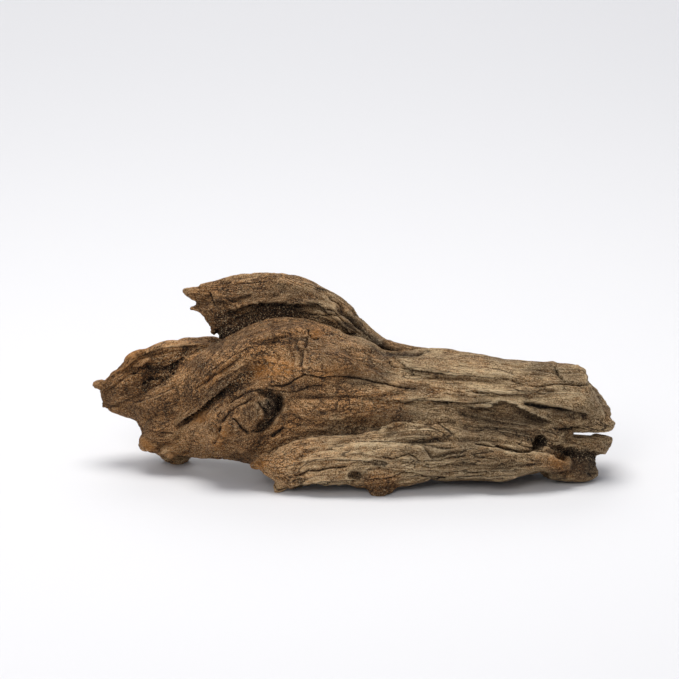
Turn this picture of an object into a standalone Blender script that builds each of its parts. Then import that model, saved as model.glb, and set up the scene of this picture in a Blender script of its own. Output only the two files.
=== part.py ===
"""A piece of aquarium driftwood, split at its forks into a trunk, an upper branch and a left root.

The wood is drawn in its face frame, in millimetres: x runs along the trunk, up is the height on
the face and into is the depth behind it. The face leans back from the upright by FACE_LEAN, and
stand_up turns and scales the finished shapes to metres, standing on the floor at Z = 0.
"""

import math
from collections import namedtuple

import bmesh
import bpy
import numpy as np
from mathutils import Matrix, Vector

# Driving dimensions
FACE_LEAN = math.radians(14.0)
FRONT_FOOT_INTO = -37.0  # depth of the foot whose height on the face is 0
CENTRE_X = -0.15  # middle of the standing piece, along it and from front to back
CENTRE_Y = 6.5
METRES = 0.001

# How finely each solid is made
RING_POINTS = 36
RING_GAP = 4.0
SKIN_CELL = 1.5
FINE_CELL = 1.2
JOINT_GAP = 0.35
TRIANGLES = {"trunk": 6200, "upper_branch": 1700, "left_root": 1500}

# Grain that is felt: the length and width of one lump, its height and its seed, and the same for
# the splits between fibres, which are as wide as SPLIT_EDGE of the noise that lays them out
LUMPS = [((46.0, 12.0), 1.7, 11), ((22.0, 6.0), 1.0, 23)]
SPLITS = [((60.0, 11.0), 1.5, 37)]
SPLIT_EDGE = 0.16
GRAIN_FALL = 0.55  # how steeply the grain runs down towards the left end
GRAIN_BEND_X = -30.0

Ring = namedtuple("Ring", "x top bottom front back")
Lump = namedtuple("Lump", "x up into along high deep")
Spike = namedtuple("Spike", "base tip width")
Ledge = namedtuple("Ledge", "path rise reach drop under")
Crack = namedtuple("Crack", "path depth width")
Hollow = namedtuple("Hollow", "x up long wide turn depth")

# Outlines of the limbs: rings from left to right
BODY = [
    Ring(-105, 33.5, 24, 12, 30),
    Ring(-98, 45, 21, 6, 34),
    Ring(-89, 57.5, 20, -2, 34),
    Ring(-79, 70, 19.5, -12, 32),
    Ring(-69, 74.5, 19, -22, 30),
    Ring(-57, 80, 18, -29, 28),
    Ring(-42, 87, 16, -32, 28),
    Ring(-27, 89, 15.5, -33, 29),
    Ring(-14, 85.8, 15, -34, 31),
    Ring(3, 77.6, 14, -34, 32),
    Ring(11, 73.4, 14, -34, 32),
    Ring(18, 70.8, 13.5, -33, 32),
    Ring(26, 71, 13.5, -33, 32),
    Ring(36, 72.4, 13.5, -33, 32),
    Ring(48, 72, 13.5, -32, 31),
    Ring(73, 68, 13.5, -31, 29),
    Ring(92, 66, 14, -28, 27),
    Ring(103, 64.8, 16, -22, 22),
    Ring(108, 58, 22, -14, 16),
]
SLAB = [
    Ring(-46, 18.5, 13.5, -31, -22),
    Ring(-39, 21, 9, -35, -20),
    Ring(-32, 25, 5, -38, -15),
    Ring(-19, 29, 5, -41, -12),
    Ring(-4, 30, 6, -42, -12),
    Ring(13, 31.5, 4.5, -43, -12),
    Ring(23, 36, 6, -42, -10),
    Ring(33, 38, 7, -41, -8),
    Ring(53, 36, 8, -39, -8),
    Ring(73, 33, 7.5, -37, -8),
    Ring(88, 30, 12.5, -35, -8),
    Ring(100, 24, 12, -32, -10),
    Ring(108, 18, 13, -28, -14),
]
PLANK = [
    Ring(-91, 57, 50, 6, 14),
    Ring(-88, 63, 43, -1, 16),
    Ring(-84, 67.5, 41, -7, 18),
    Ring(-79, 70.5, 44.5, -13, 18),
    Ring(-72, 74, 50, -19, 16),
    Ring(-64, 76.6, 56, -24, 14),
    Ring(-57, 80.4, 61.5, -28, 12),
    Ring(-49, 84.6, 68, -29, 8),
    Ring(-41, 87.3, 74, -28, 4),
]
UPPER_PRONG = [
    Ring(88, 66.4, 33, -27, 24),
    Ring(103, 65.4, 33.5, -27, 24),
    Ring(111, 64.6, 34.5, -26, 23),
    Ring(116.5, 61.6, 34.5, -24, 21),
    Ring(119.5, 54.5, 34.5, -22, 18),
    Ring(124.5, 48.5, 34.5, -18, 14),
    Ring(128, 42, 35, -14, 9),
]
MIDDLE_PRONG = [
    Ring(96, 31, 18, -20, 20),
    Ring(111, 29.5, 17, -20, 18),
    Ring(118.5, 29, 17, -18, 16),
    Ring(123, 29, 18.5, -15, 13),
    Ring(126.5, 29, 22, -10, 9),
    Ring(129, 28.5, 26, -6, 5),
]
LOWER_PRONG = [
    Ring(98, 18, 9.5, -22, 8),
    Ring(110, 17.5, 10, -20, 10),
    Ring(116, 17, 9.5, -16, 10),
    Ring(120.5, 16, 11, -11, 6),
]
LEFT_ROOT = [
    Ring(-127.5, 54, 43, 12, 22),
    Ring(-123.5, 59, 41, 9, 25),
    Ring(-118, 63, 40, 6, 28),
    Ring(-111, 68, 38.5, 3, 30),
    Ring(-105, 71.5, 32, 1, 32),
    Ring(-98, 75.3, 28, -1, 34),
    Ring(-89, 78, 30, -1, 36),
    Ring(-79, 78.5, 36, 1, 37),
    Ring(-69, 80, 46, 5, 36),
    Ring(-60, 77, 52, 10, 33),
]
UPPER_BRANCH = [
    Ring(-82, 102.2, 100, 6, 11),
    Ring(-79, 102.4, 97.4, 4, 15),
    Ring(-75.5, 104.6, 90, 2, 19),
    Ring(-71, 105.6, 84, 1, 22),
    Ring(-65, 107.5, 75.5, 1, 24),
    Ring(-57, 109.8, 74, 0, 26),
    Ring(-46, 112, 75, 0, 27),
    Ring(-36, 111.4, 76, 0, 27),
    Ring(-25, 107.8, 77, 1, 27),
    Ring(-14, 102.5, 75, 2, 26),
    Ring(-4, 95.5, 72, 2, 25),
    Ring(6, 86, 69, 2, 24),
    Ring(15, 78.8, 66, 0, 22),
    Ring(24, 75.4, 65, 0, 20),
    Ring(38, 73, 66, 4, 16),
]

FEET = [
    Lump(13, 5, -32, 7.5, 6.4, 7.5),
    Lump(-90, 23.5, 26, 9, 9.5, 9),
    Lump(106, 12.5, -5, 13, 5.8, 7),
    Lump(64, 25, 18, 22, 12.5, 12),
]
TRUNK_LUMPS = [
    Lump(-58, 35, -24, 16, 15, 12),
    Lump(-64, 27, -20, 9, 9, 10),
    Lump(72, 9.8, -34, 9, 4, 5),
    Lump(-22, 77, -18, 8, 6, 8),
    Lump(-14, 64, -28, 16, 10, 9),
    Lump(-93, 33, 4, 11, 8, 10),
    Lump(12, 10, -34, 11, 6, 6),
    Lump(-89.5, 22.5, 4, 6.5, 4.6, 8),
    Lump(-101, 26.5, 8, 6.5, 5.2, 8),
]
ROOT_LUMPS = [
    Lump(-126.5, 54.5, 14, 4.6, 2.8, 4.5),
    Lump(-119, 47, 12, 6, 6, 6),
    Lump(-106, 66.5, 8, 8, 5, 8),
    Lump(-93, 46, 4, 12, 8, 8),
]
TRUNK_SPIKES = [
    Spike((-32, 12, -30), (-38.5, 1.6, -29), 4.5),
    Spike((-42, 18, -28), (-50.5, 14.5, -29), 4.0),
    Spike((110, 60, -14), (118, 58.5, -14), 5.0),
    Spike((114, 50, -8), (124, 48.5, -6), 5.0),
    Spike((121, 38, -8), (129.5, 35.5, -7), 4.0),
    Spike((120, 27, -4), (129.5, 28, -3), 3.0),
]
ROOT_SPIKES = [
    Spike((-112, 46, 14), (-126, 42.5, 13), 5.5),
]
BRANCH_SPIKES = [
    Spike((-73, 94, 8), (-83, 93, 7), 4.6),
    Spike((-68, 84, 8), (-71, 80.5, 6), 4.0),
    Spike((-78, 99.8, 8), (-84.4, 102.4, 8), 2.8),
]

# What the weather cut into the face: paths are (x, up). The side of a ledge on the left hand of
# someone who walks along its path stands proud.
TRUNK_CUTS = [
    Ledge([(23, 38.5), (14, 34), (2, 31), (-16, 30), (-28, 28), (-37, 24.5), (-45, 16)], 1.8, 7, 3.4, 6),
    Ledge([(54, 24.5), (44, 23), (31, 26.5), (3, 27.5), (-8, 24.5)], 1.8, 6, 1.6, 4),
    Ledge([(-90, 34), (-81, 40), (-70, 48), (-58, 57)], 1.0, 9, 2.4, 4),
    Ledge([(-2, 48.5), (9, 48.5), (18, 46.3), (28, 47), (41, 47.2), (50, 46.3), (58, 44.8)], 1.0, 6, 1.2, 5),
    Ledge([(52, 45), (61, 44.2), (67, 45), (72.2, 47.2), (80, 45.9), (88, 41), (99.8, 36.4)], 2.0, 7, 3.0, 7),
    Ledge([(-91, 60), (-86, 68), (-80, 72), (-72, 77)], 3.0, 7, 2.0, 5),
    Ledge([(-84, 44), (-66, 58), (-50, 68)], 0.5, 6, 0.4, 5),
    Ledge([(58, 53), (74, 50.5), (93, 51)], 1.6, 5, 1.4, 5),
    Ledge([(16, 71.5), (28, 63), (46, 60.5), (80, 58)], 1.6, 7, 1.4, 6),
    Ledge([(103, 20), (89, 22), (77, 22), (66, 27)], 2.0, 6, 1.8, 4),
    Hollow(-42, 50.5, 5.5, 1.8, -12, 4.0),
    Hollow(-37.6, 45.5, 5.0, 2.1, 82, 8.0),
    Hollow(-42.5, 37.5, 5.5, 2.2, 52, 4.0),
    Hollow(-52, 60, 10.0, 4.4, 38, 3.0),
    Hollow(-65.5, 30, 6.5, 2.4, 58, -1.8),
    Hollow(-48, 43, 5.0, 3.0, 50, -1.2),
    Ledge([(-34, 3), (-27, 5), (-17, 7.4), (-9, 8), (2, 8)], 0.6, 3, 3.6, 4),
    Hollow(-62, 23, 7.0, 4.0, 10, 3.0),
    Hollow(93.3, 27, 2.4, 2.2, 0, 7.0),
    Hollow(112, 20.6, 12.0, 3.2, -10, 7.5),
    Hollow(0.5, 10.8, 2.8, 1.9, 0, 3.5),
    Hollow(4, 35.5, 15.0, 4.0, 5, 3.2),
    Hollow(74, 40, 24.0, 4.6, -5, 2.8),
    Hollow(14, 67, 9.0, 3.6, -30, 2.0),
]
ROOT_CUTS = [
    Hollow(-97, 61.5, 13.0, 6.0, 32, 6.0),
    Hollow(-110, 52, 7.0, 4.0, 20, 2.5),
    Ledge([(-88, 54), (-100, 49), (-112, 45)], 1.6, 5, 1.6, 5),
    Ledge([(-118, 60), (-108, 69), (-96, 73.5), (-78, 75)], 1.6, 3, 2.4, 5),
]
BRANCH_CUTS = [
    Ledge([(-66, 91), (-54, 94.5), (-46, 96), (-30, 95.5), (-16, 95)], 1.8, 8, 4.4, 9),
    Ledge([(-72, 97), (-62, 97), (-50, 101)], 1.0, 4, 1.0, 4),
    Ledge([(-27, 97.5), (-18, 95), (-10, 88.5), (-2, 81), (9, 75)], 1.4, 3, 1.6, 3),
    Hollow(-74, 97, 4.0, 3.0, 30, 3.0),
]

# The same on the back, seen from the face
TRUNK_BACK_CUTS = [
    Ledge([(-95, 38), (-60, 52), (-20, 60), (30, 56), (80, 52), (104, 50)], 2.4, 9, 2.6, 8),
    Ledge([(-80, 30), (-40, 34), (10, 33), (60, 30), (100, 32)], 1.8, 8, 2.4, 7),
    Ledge([(-10, 72), (30, 66), (75, 61), (100, 61)], 1.6, 7, 2.0, 6),
    Crack([(-70, 44), (-40, 47), (0, 49), (40, 45)], 3.0, 1.8),
    Crack([(20, 41), (60, 38), (92, 40)], 2.8, 1.8),
    Crack([(88, 48), (102, 46), (116, 46)], 3.4, 1.8),
    Hollow(-22, 42, 13.0, 6.0, 10, 4.0),
    Hollow(52, 50, 12.0, 4.0, -6, 3.0),
]
ROOT_BACK_CUTS = [
    Ledge([(-116, 50), (-98, 54), (-80, 60)], 1.8, 7, 2.0, 6),
    Crack([(-108, 60), (-92, 66), (-76, 69)], 2.4, 1.7),
]
BRANCH_BACK_CUTS = [
    Ledge([(-68, 93), (-44, 98), (-20, 95), (0, 84)], 1.8, 7, 2.2, 7),
    Crack([(-56, 103), (-34, 104), (-14, 98)], 2.0, 1.7),
]

LIMBS = {
    "trunk": {
        "tubes": [BODY, SLAB, PLANK, UPPER_PRONG, MIDDLE_PRONG, LOWER_PRONG],
        "lumps": FEET + TRUNK_LUMPS,
        "spikes": TRUNK_SPIKES,
        "face_cuts": TRUNK_CUTS,
        "back_cuts": TRUNK_BACK_CUTS,
    },
    "left_root": {
        "tubes": [LEFT_ROOT],
        "lumps": ROOT_LUMPS,
        "spikes": ROOT_SPIKES,
        "face_cuts": ROOT_CUTS,
        "back_cuts": ROOT_BACK_CUTS,
    },
    "upper_branch": {
        "tubes": [UPPER_BRANCH],
        "lumps": [],
        "spikes": BRANCH_SPIKES,
        "face_cuts": BRANCH_CUTS,
        "back_cuts": BRANCH_BACK_CUTS,
    },
}
COLOURS = {
    "trunk": (0.165, 0.100, 0.058),
    "left_root": (0.125, 0.070, 0.038),
    "upper_branch": (0.140, 0.088, 0.050),
}
ROUGHNESS = 0.85


def smooth_between(places, known, values):
    """Values at places, read from a smooth curve through the known ones."""
    slopes = np.gradient(values, known)
    first = np.clip(np.searchsorted(known, places) - 1, 0, len(known) - 2)
    span = known[first + 1] - known[first]
    t = (places - known[first]) / span
    rise = 3 * t**2 - 2 * t**3
    from_first = (t - 2 * t**2 + t**3) * span * slopes[first]
    from_second = (t**3 - t**2) * span * slopes[first + 1]
    return (1 - rise) * values[first] + rise * values[first + 1] + from_first + from_second


def value_noise(points, seed):
    """Smooth noise from -1 to 1, with one random value at each whole-numbered corner."""
    table = np.random.default_rng(seed).uniform(-1, 1, 4096)
    cell = np.floor(points).astype(np.int64)
    part = points - cell
    blend = part * part * (3 - 2 * part)
    total = np.zeros(len(points))
    for corner in np.ndindex(2, 2, 2):
        key = (cell + corner) @ np.array([73856093, 19349663, 83492791]) % len(table)
        share = np.where(np.array(corner) == 1, blend, 1 - blend).prod(axis=1)
        total += share * table[key]
    return total


def ease(t):
    t = np.clip(t, 0, 1)
    return t * t * (3 - 2 * t)


def add_tube(shape, rings):
    """A closed tube through the rings: a ring of points is drawn out step by step, then fitted."""
    table = np.array(rings, float)
    steps = int(round((table[-1, 0] - table[0, 0]) / RING_GAP))
    made = bmesh.ops.create_circle(shape, cap_ends=True, segments=RING_POINTS, radius=1)
    tube = list(made["verts"])
    edges = list({edge for vert in tube for edge in vert.link_edges})
    for _ in range(steps):
        drawn = bmesh.ops.extrude_edge_only(shape, edges=edges)["geom"]
        edges = [item for item in drawn if isinstance(item, bmesh.types.BMEdge)]
        edges = [edge for edge in edges if all(vert in drawn for vert in edge.verts)]
        ring = [item for item in drawn if isinstance(item, bmesh.types.BMVert)]
        bmesh.ops.translate(shape, verts=ring, vec=(0, 0, 1))
        tube += ring
    bmesh.ops.contextual_create(shape, geom=edges)

    unit = np.array([vert.co for vert in tube])
    places = table[0, 0] + (table[-1, 0] - table[0, 0]) * unit[:, 2] / steps
    top, bottom, front, back = (
        smooth_between(places, table[:, 0], table[:, column]) for column in range(1, 5)
    )
    squared = np.sign(unit[:, :2]) * np.abs(unit[:, :2]) ** 0.85
    into = (front + back) / 2 + (back - front) / 2 * squared[:, 0]
    up = (top + bottom) / 2 + (top - bottom) / 2 * squared[:, 1]
    lower_half = (1 - squared[:, 1]) / 2
    up += lower_half * math.tan(FACE_LEAN) * (into - (front + back) / 2)
    for vert, place in zip(tube, np.column_stack([places, into, up])):
        vert.co = place


def add_lump(shape, lump):
    place = Matrix.Translation((lump.x, lump.into, lump.up))
    size = Matrix.Diagonal((lump.along, lump.deep, lump.high, 1))
    bmesh.ops.create_icosphere(shape, subdivisions=3, radius=1, matrix=place @ size)


def add_spike(shape, spike):
    base, tip = (Vector((x, into, up)) for x, up, into in (spike.base, spike.tip))
    along = tip - base
    turn = along.to_track_quat("Z", "Y").to_matrix().to_4x4()
    bmesh.ops.create_cone(
        shape,
        cap_ends=True,
        segments=12,
        radius1=spike.width,
        radius2=spike.width * 0.25,
        depth=along.length,
        matrix=Matrix.Translation((base + tip) / 2) @ turn,
    )


def finished(obj, kind, **settings):
    """The object's mesh with one modifier applied to it."""
    modifier = obj.modifiers.new(kind.title(), kind)
    for name, value in settings.items():
        setattr(modifier, name, value)
    graph = bpy.context.evaluated_depsgraph_get()
    mesh = bpy.data.meshes.new_from_object(obj.evaluated_get(graph))
    obj.modifiers.clear()
    obj.data = mesh
    return obj


def skin(obj, cell):
    """One closed skin round everything in the object."""
    return finished(obj, "REMESH", mode="VOXEL", voxel_size=cell)


def read(obj):
    """The object's points and the directions its surface faces."""
    points = np.empty(len(obj.data.vertices) * 3)
    facing = np.empty(len(obj.data.vertices) * 3)
    obj.data.vertices.foreach_get("co", points)
    obj.data.vertices.foreach_get("normal", facing)
    return points.reshape(-1, 3), facing.reshape(-1, 3)


def write(obj, points):
    obj.data.vertices.foreach_set("co", points.ravel())
    obj.data.update()


def beside(path, points):
    """Each point's distance from the path, left of it positive, and how far along the path it is."""
    spots = points[:, [0, 2]]
    corners = np.array(path, float)
    lengths = np.linalg.norm(np.diff(corners, axis=0), axis=1)
    nearest = np.full(len(spots), np.inf)
    signed = np.zeros(len(spots))
    along = np.zeros(len(spots))
    for number, (start, end, length) in enumerate(zip(corners, corners[1:], lengths)):
        way = (end - start) / length
        from_start = spots - start
        run = np.clip(from_start @ way, 0, length)
        gap = np.linalg.norm(from_start - run[:, None] * way, axis=1)
        closer = gap < nearest
        nearest = np.where(closer, gap, nearest)
        side = np.sign(way[0] * from_start[:, 1] - way[1] * from_start[:, 0])
        signed = np.where(closer, side * gap, signed)
        along = np.where(closer, (lengths[:number].sum() + run) / lengths.sum(), along)
    return signed, along


def fade_ends(along):
    return ease(along / 0.15) * ease((1 - along) / 0.15)


def cut_height(cut, points):
    """How far a cut moves each point outwards."""
    if isinstance(cut, Hollow):
        turn = math.radians(cut.turn)
        east = points[:, 0] - cut.x
        north = points[:, 2] - cut.up
        long_way = (east * math.cos(turn) + north * math.sin(turn)) / cut.long
        short_way = (north * math.cos(turn) - east * math.sin(turn)) / cut.wide
        return -cut.depth * ease(1.75 - 1.25 * np.hypot(long_way, short_way))
    gap, along = beside(cut.path, points)
    if isinstance(cut, Crack):
        return -cut.depth * np.exp(-((gap / cut.width) ** 2)) * fade_ends(along)
    proud = cut.rise * np.exp(-np.abs(gap) / cut.reach)
    sunk = -cut.drop * np.exp(-np.abs(gap) / cut.under)
    return np.where(gap > 0, proud, sunk) * fade_ends(along)


def weather(obj, rings, face_cuts, back_cuts):
    """Lumps and splits along the grain all over, and the cuts on the face and the back."""
    points, facing = read(obj)
    fall = GRAIN_FALL * np.minimum(points[:, 0] - GRAIN_BEND_X, 0)
    grain = np.column_stack([points[:, 0], points[:, 1], points[:, 2] - fall])
    rise = np.zeros(len(points))
    for (length, width), height, seed in LUMPS:
        rise += height * value_noise(grain / (length, width, width), seed)
    for (length, width), depth, seed in SPLITS:
        rise -= depth * np.exp(-((value_noise(grain / (length, width, width), seed) / SPLIT_EDGE) ** 2))
    table = np.array(rings, float)
    middle = np.interp(points[:, 0], table[:, 0], (table[:, 3] + table[:, 4]) / 2)
    on_face = ease((middle + 4 - points[:, 1]) / 10)
    on_back = ease((points[:, 1] - middle) / 10)
    for cut in face_cuts:
        rise += cut_height(cut, points) * on_face
    for cut in back_cuts:
        rise += cut_height(cut, points) * on_back
    write(obj, points + facing * rise[:, None])


def limb(name, tubes, lumps, spikes, face_cuts, back_cuts):
    """One limb as a closed solid, in the face frame."""
    shape = bmesh.new()
    for rings in tubes:
        add_tube(shape, rings)
    for lump in lumps:
        add_lump(shape, lump)
    for spike in spikes:
        add_spike(shape, spike)
    bmesh.ops.recalc_face_normals(shape, faces=shape.faces)
    obj = bpy.data.objects.new(name, bpy.data.meshes.new(name))
    shape.to_mesh(obj.data)
    shape.free()
    bpy.context.scene.collection.objects.link(obj)
    skin(obj, SKIN_CELL)
    weather(obj, tubes[0], face_cuts, back_cuts)
    skin(obj, FINE_CELL)
    obj.data.calc_loop_triangles()
    share = TRIANGLES[name] / len(obj.data.loop_triangles)
    finished(obj, "DECIMATE", ratio=share, use_collapse_triangulate=True)
    return obj


def stand_up(obj):
    """From the face frame in millimetres to metres, standing on the floor."""
    lowest = FRONT_FOOT_INTO * math.sin(FACE_LEAN)
    lean = Matrix.Rotation(FACE_LEAN, 4, "X").inverted()
    centre = Matrix.Translation((-CENTRE_X, -CENTRE_Y, lowest))
    obj.data.transform(Matrix.Scale(METRES, 4) @ centre @ lean)


def wear_flat(obj):
    """Feet that reach the floor end in flat faces on it."""
    shape = bmesh.new()
    shape.from_mesh(obj.data)
    everything = shape.verts[:] + shape.edges[:] + shape.faces[:]
    bmesh.ops.bisect_plane(
        shape, geom=everything, plane_co=(0, 0, 0), plane_no=(0, 0, -1), clear_outer=True
    )
    open_edges = [edge for edge in shape.edges if edge.is_boundary]
    if open_edges:
        bmesh.ops.holes_fill(shape, edges=open_edges, sides=0)
    bmesh.ops.triangulate(shape, faces=shape.faces)
    shape.to_mesh(obj.data)
    shape.free()


def part_from(obj, neighbour):
    """Cuts obj back from its neighbour, leaving the joint's gap between them."""
    cutter = neighbour.copy()
    cutter.data = neighbour.data.copy()
    bpy.context.scene.collection.objects.link(cutter)
    points, facing = read(cutter)
    write(cutter, points + facing * JOINT_GAP * METRES)
    finished(obj, "BOOLEAN", operation="DIFFERENCE", object=cutter)
    bpy.data.objects.remove(cutter)


def paint(obj, colour):
    material = bpy.data.materials.new(obj.name)
    material.use_nodes = True
    shader = material.node_tree.nodes["Principled BSDF"]
    shader.inputs["Base Color"].default_value = (*colour, 1)
    shader.inputs["Roughness"].default_value = ROUGHNESS
    shader.inputs["Metallic"].default_value = 0.0
    obj.data.materials.clear()
    obj.data.materials.append(material)


def main():
    for old in list(bpy.data.objects):
        bpy.data.objects.remove(old)
    limbs = {name: limb(name, **design) for name, design in LIMBS.items()}
    for obj in limbs.values():
        stand_up(obj)
        wear_flat(obj)
    part_from(limbs["left_root"], limbs["trunk"])
    part_from(limbs["upper_branch"], limbs["trunk"])
    for name, obj in limbs.items():
        paint(obj, COLOURS[name])


main()
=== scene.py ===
"""Aquarium driftwood: a trunk with a swollen shoulder and a knot, an upper branch and a left root.

Each piece is drawn in its face frame, in millimetres: x runs along the wood, up is the height on
the face and into is the depth behind it. Weather is then worn into it along the grain, and the
piece is stood up in metres on the floor.
"""

import math
from collections import namedtuple

import bmesh
import bpy
import numpy as np
from bpy.props import FloatProperty, FloatVectorProperty, IntProperty, PointerProperty
from mathutils import Matrix, Vector


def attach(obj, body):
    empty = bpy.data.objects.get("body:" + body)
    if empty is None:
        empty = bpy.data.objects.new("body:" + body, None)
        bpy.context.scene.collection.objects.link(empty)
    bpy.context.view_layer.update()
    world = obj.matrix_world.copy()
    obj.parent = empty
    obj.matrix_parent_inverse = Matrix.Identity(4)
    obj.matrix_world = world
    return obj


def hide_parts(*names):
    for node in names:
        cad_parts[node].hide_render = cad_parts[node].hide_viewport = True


bl_info = {
    "name": "Aquarium Driftwood",
    "version": (1, 0, 0),
    "blender": (4, 5, 0),
    "location": "View3D > Sidebar > Driftwood",
    "description": "Models a weathered piece of driftwood with its forks, knot, ledges and splits",
    "category": "Add Mesh",
}

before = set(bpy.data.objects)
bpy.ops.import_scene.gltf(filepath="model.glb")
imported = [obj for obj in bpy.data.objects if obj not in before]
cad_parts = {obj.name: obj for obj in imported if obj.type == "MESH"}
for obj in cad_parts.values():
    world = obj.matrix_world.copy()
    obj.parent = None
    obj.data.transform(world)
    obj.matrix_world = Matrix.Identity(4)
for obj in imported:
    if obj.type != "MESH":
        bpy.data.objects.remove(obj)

# The face frame, and how it stands on the floor
FACE_LEAN = math.radians(14.0)
FRONT_FOOT_INTO = -37.0
CENTRE_X = -0.15
CENTRE_Y = 6.5
METRES = 0.001

# The camera: a long lens, and what it sees at the plane of the face
SIGHT_HEIGHT = math.radians(14.0)
SIGHT_X = -7.25
SIGHT_UP = 77.75
SIGHT_WIDTH = 339.5
SIGHT_DISTANCE = 4000.0
SIGHT_END = 20
SENSOR = 36.0

# How limbs are drawn: a power below 1 fills out the corners of a ring
RING_POINTS = 40
RING_GAP = 3.0
RING_POWER = 0.85
LUMP_FINENESS = 4
SPIKE_POINTS = 16
SPIKE_TIP = 0.25

Ring = namedtuple("Ring", "x top bottom front back")
Lump = namedtuple("Lump", "x up into along high deep")
Spike = namedtuple("Spike", "base tip width")
Ledge = namedtuple("Ledge", "path rise reach drop under")
Crack = namedtuple("Crack", "path depth width")
Hollow = namedtuple("Hollow", "x up long wide turn depth")
Patch = namedtuple("Patch", "x up long wide turn amount")

# Outlines of the limbs: rings from left to right
BODY = [
    Ring(-105, 33.5, 24, 12, 30),
    Ring(-98, 45, 21, 6, 34),
    Ring(-89, 57.5, 20, -2, 34),
    Ring(-79, 70, 19.5, -12, 32),
    Ring(-69, 74.5, 19, -22, 30),
    Ring(-57, 80, 18, -29, 28),
    Ring(-42, 87, 16, -32, 28),
    Ring(-27, 89, 15.5, -33, 29),
    Ring(-14, 85.8, 15, -34, 31),
    Ring(3, 77.6, 14, -34, 32),
    Ring(11, 73.4, 14, -34, 32),
    Ring(18, 70.8, 13.5, -33, 32),
    Ring(26, 71, 13.5, -33, 32),
    Ring(36, 72.4, 13.5, -33, 32),
    Ring(48, 72, 13.5, -32, 31),
    Ring(73, 68, 13.5, -31, 29),
    Ring(92, 66, 14, -28, 27),
    Ring(103, 64.8, 16, -22, 22),
    Ring(108, 58, 22, -14, 16),
]
SLAB = [
    Ring(-46, 18.5, 13.5, -31, -22),
    Ring(-39, 21, 9, -35, -20),
    Ring(-32, 25, 5, -38, -15),
    Ring(-19, 29, 5, -41, -12),
    Ring(-4, 30, 6, -42, -12),
    Ring(13, 31.5, 4.5, -43, -12),
    Ring(23, 36, 6, -42, -10),
    Ring(33, 38, 7, -41, -8),
    Ring(53, 36, 8, -39, -8),
    Ring(73, 33, 7.5, -37, -8),
    Ring(88, 30, 12.5, -35, -8),
    Ring(100, 24, 12, -32, -10),
    Ring(108, 18, 13, -28, -14),
]
PLANK = [
    Ring(-91, 57, 50, 6, 14),
    Ring(-88, 63, 43, -1, 16),
    Ring(-84, 67.5, 41, -7, 18),
    Ring(-79, 70.5, 44.5, -13, 18),
    Ring(-72, 74, 50, -19, 16),
    Ring(-64, 76.6, 56, -24, 14),
    Ring(-57, 80.4, 61.5, -28, 12),
    Ring(-49, 84.6, 68, -29, 8),
    Ring(-41, 87.3, 74, -28, 4),
]
UPPER_PRONG = [
    Ring(88, 66.4, 33, -27, 24),
    Ring(103, 65.4, 33.5, -27, 24),
    Ring(111, 64.6, 34.5, -26, 23),
    Ring(116.5, 61.6, 34.5, -24, 21),
    Ring(119.5, 54.5, 34.5, -22, 18),
    Ring(124.5, 48.5, 34.5, -18, 14),
    Ring(128, 42, 35, -14, 9),
]
MIDDLE_PRONG = [
    Ring(96, 31, 18, -20, 20),
    Ring(111, 29.5, 17, -20, 18),
    Ring(118.5, 29, 17, -18, 16),
    Ring(123, 29, 18.5, -15, 13),
    Ring(126.5, 29, 22, -10, 9),
    Ring(129, 28.5, 26, -6, 5),
]
LOWER_PRONG = [
    Ring(98, 18, 9.5, -22, 8),
    Ring(110, 17.5, 10, -20, 10),
    Ring(116, 17, 9.5, -16, 10),
    Ring(120.5, 16, 11, -11, 6),
]
LEFT_ROOT = [
    Ring(-127.5, 54, 43, 12, 22),
    Ring(-123.5, 59, 41, 9, 25),
    Ring(-118, 63, 40, 6, 28),
    Ring(-111, 68, 38.5, 3, 30),
    Ring(-105, 71.5, 32, 1, 32),
    Ring(-98, 75.3, 28, -1, 34),
    Ring(-89, 78, 30, -1, 36),
    Ring(-79, 78.5, 36, 1, 37),
    Ring(-69, 80, 46, 5, 36),
    Ring(-60, 77, 52, 10, 33),
]
UPPER_BRANCH = [
    Ring(-82, 102.2, 100, 6, 11),
    Ring(-79, 102.4, 97.4, 4, 15),
    Ring(-75.5, 104.6, 90, 2, 19),
    Ring(-71, 105.6, 84, 1, 22),
    Ring(-65, 107.5, 75.5, 1, 24),
    Ring(-57, 109.8, 74, 0, 26),
    Ring(-46, 112, 75, 0, 27),
    Ring(-36, 111.4, 76, 0, 27),
    Ring(-25, 107.8, 77, 1, 27),
    Ring(-14, 102.5, 75, 2, 26),
    Ring(-4, 95.5, 72, 2, 25),
    Ring(6, 86, 69, 2, 24),
    Ring(15, 78.8, 66, 0, 22),
    Ring(24, 75.4, 65, 0, 20),
    Ring(38, 73, 66, 4, 16),
]

FEET = [
    Lump(13, 5, -32, 7.5, 6.4, 7.5),
    Lump(-90, 23.5, 26, 9, 9.5, 9),
    Lump(106, 12.5, -5, 13, 5.8, 7),
    Lump(64, 25, 18, 22, 12.5, 12),
]
TRUNK_LUMPS = [
    Lump(-58, 35, -24, 16, 15, 12),
    Lump(-64, 27, -20, 9, 9, 10),
    Lump(72, 9.8, -34, 9, 4, 5),
    Lump(-22, 77, -18, 8, 6, 8),
    Lump(-14, 64, -28, 16, 10, 9),
    Lump(-93, 33, 4, 11, 8, 10),
    Lump(12, 10, -34, 11, 6, 6),
    Lump(-89.5, 22.5, 4, 6.5, 4.6, 8),
    Lump(-101, 26.5, 8, 6.5, 5.2, 8),
]
ROOT_LUMPS = [
    Lump(-126.5, 54.5, 14, 4.6, 2.8, 4.5),
    Lump(-119, 47, 12, 6, 6, 6),
    Lump(-106, 66.5, 8, 8, 5, 8),
    Lump(-93, 46, 4, 12, 8, 8),
]
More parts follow.
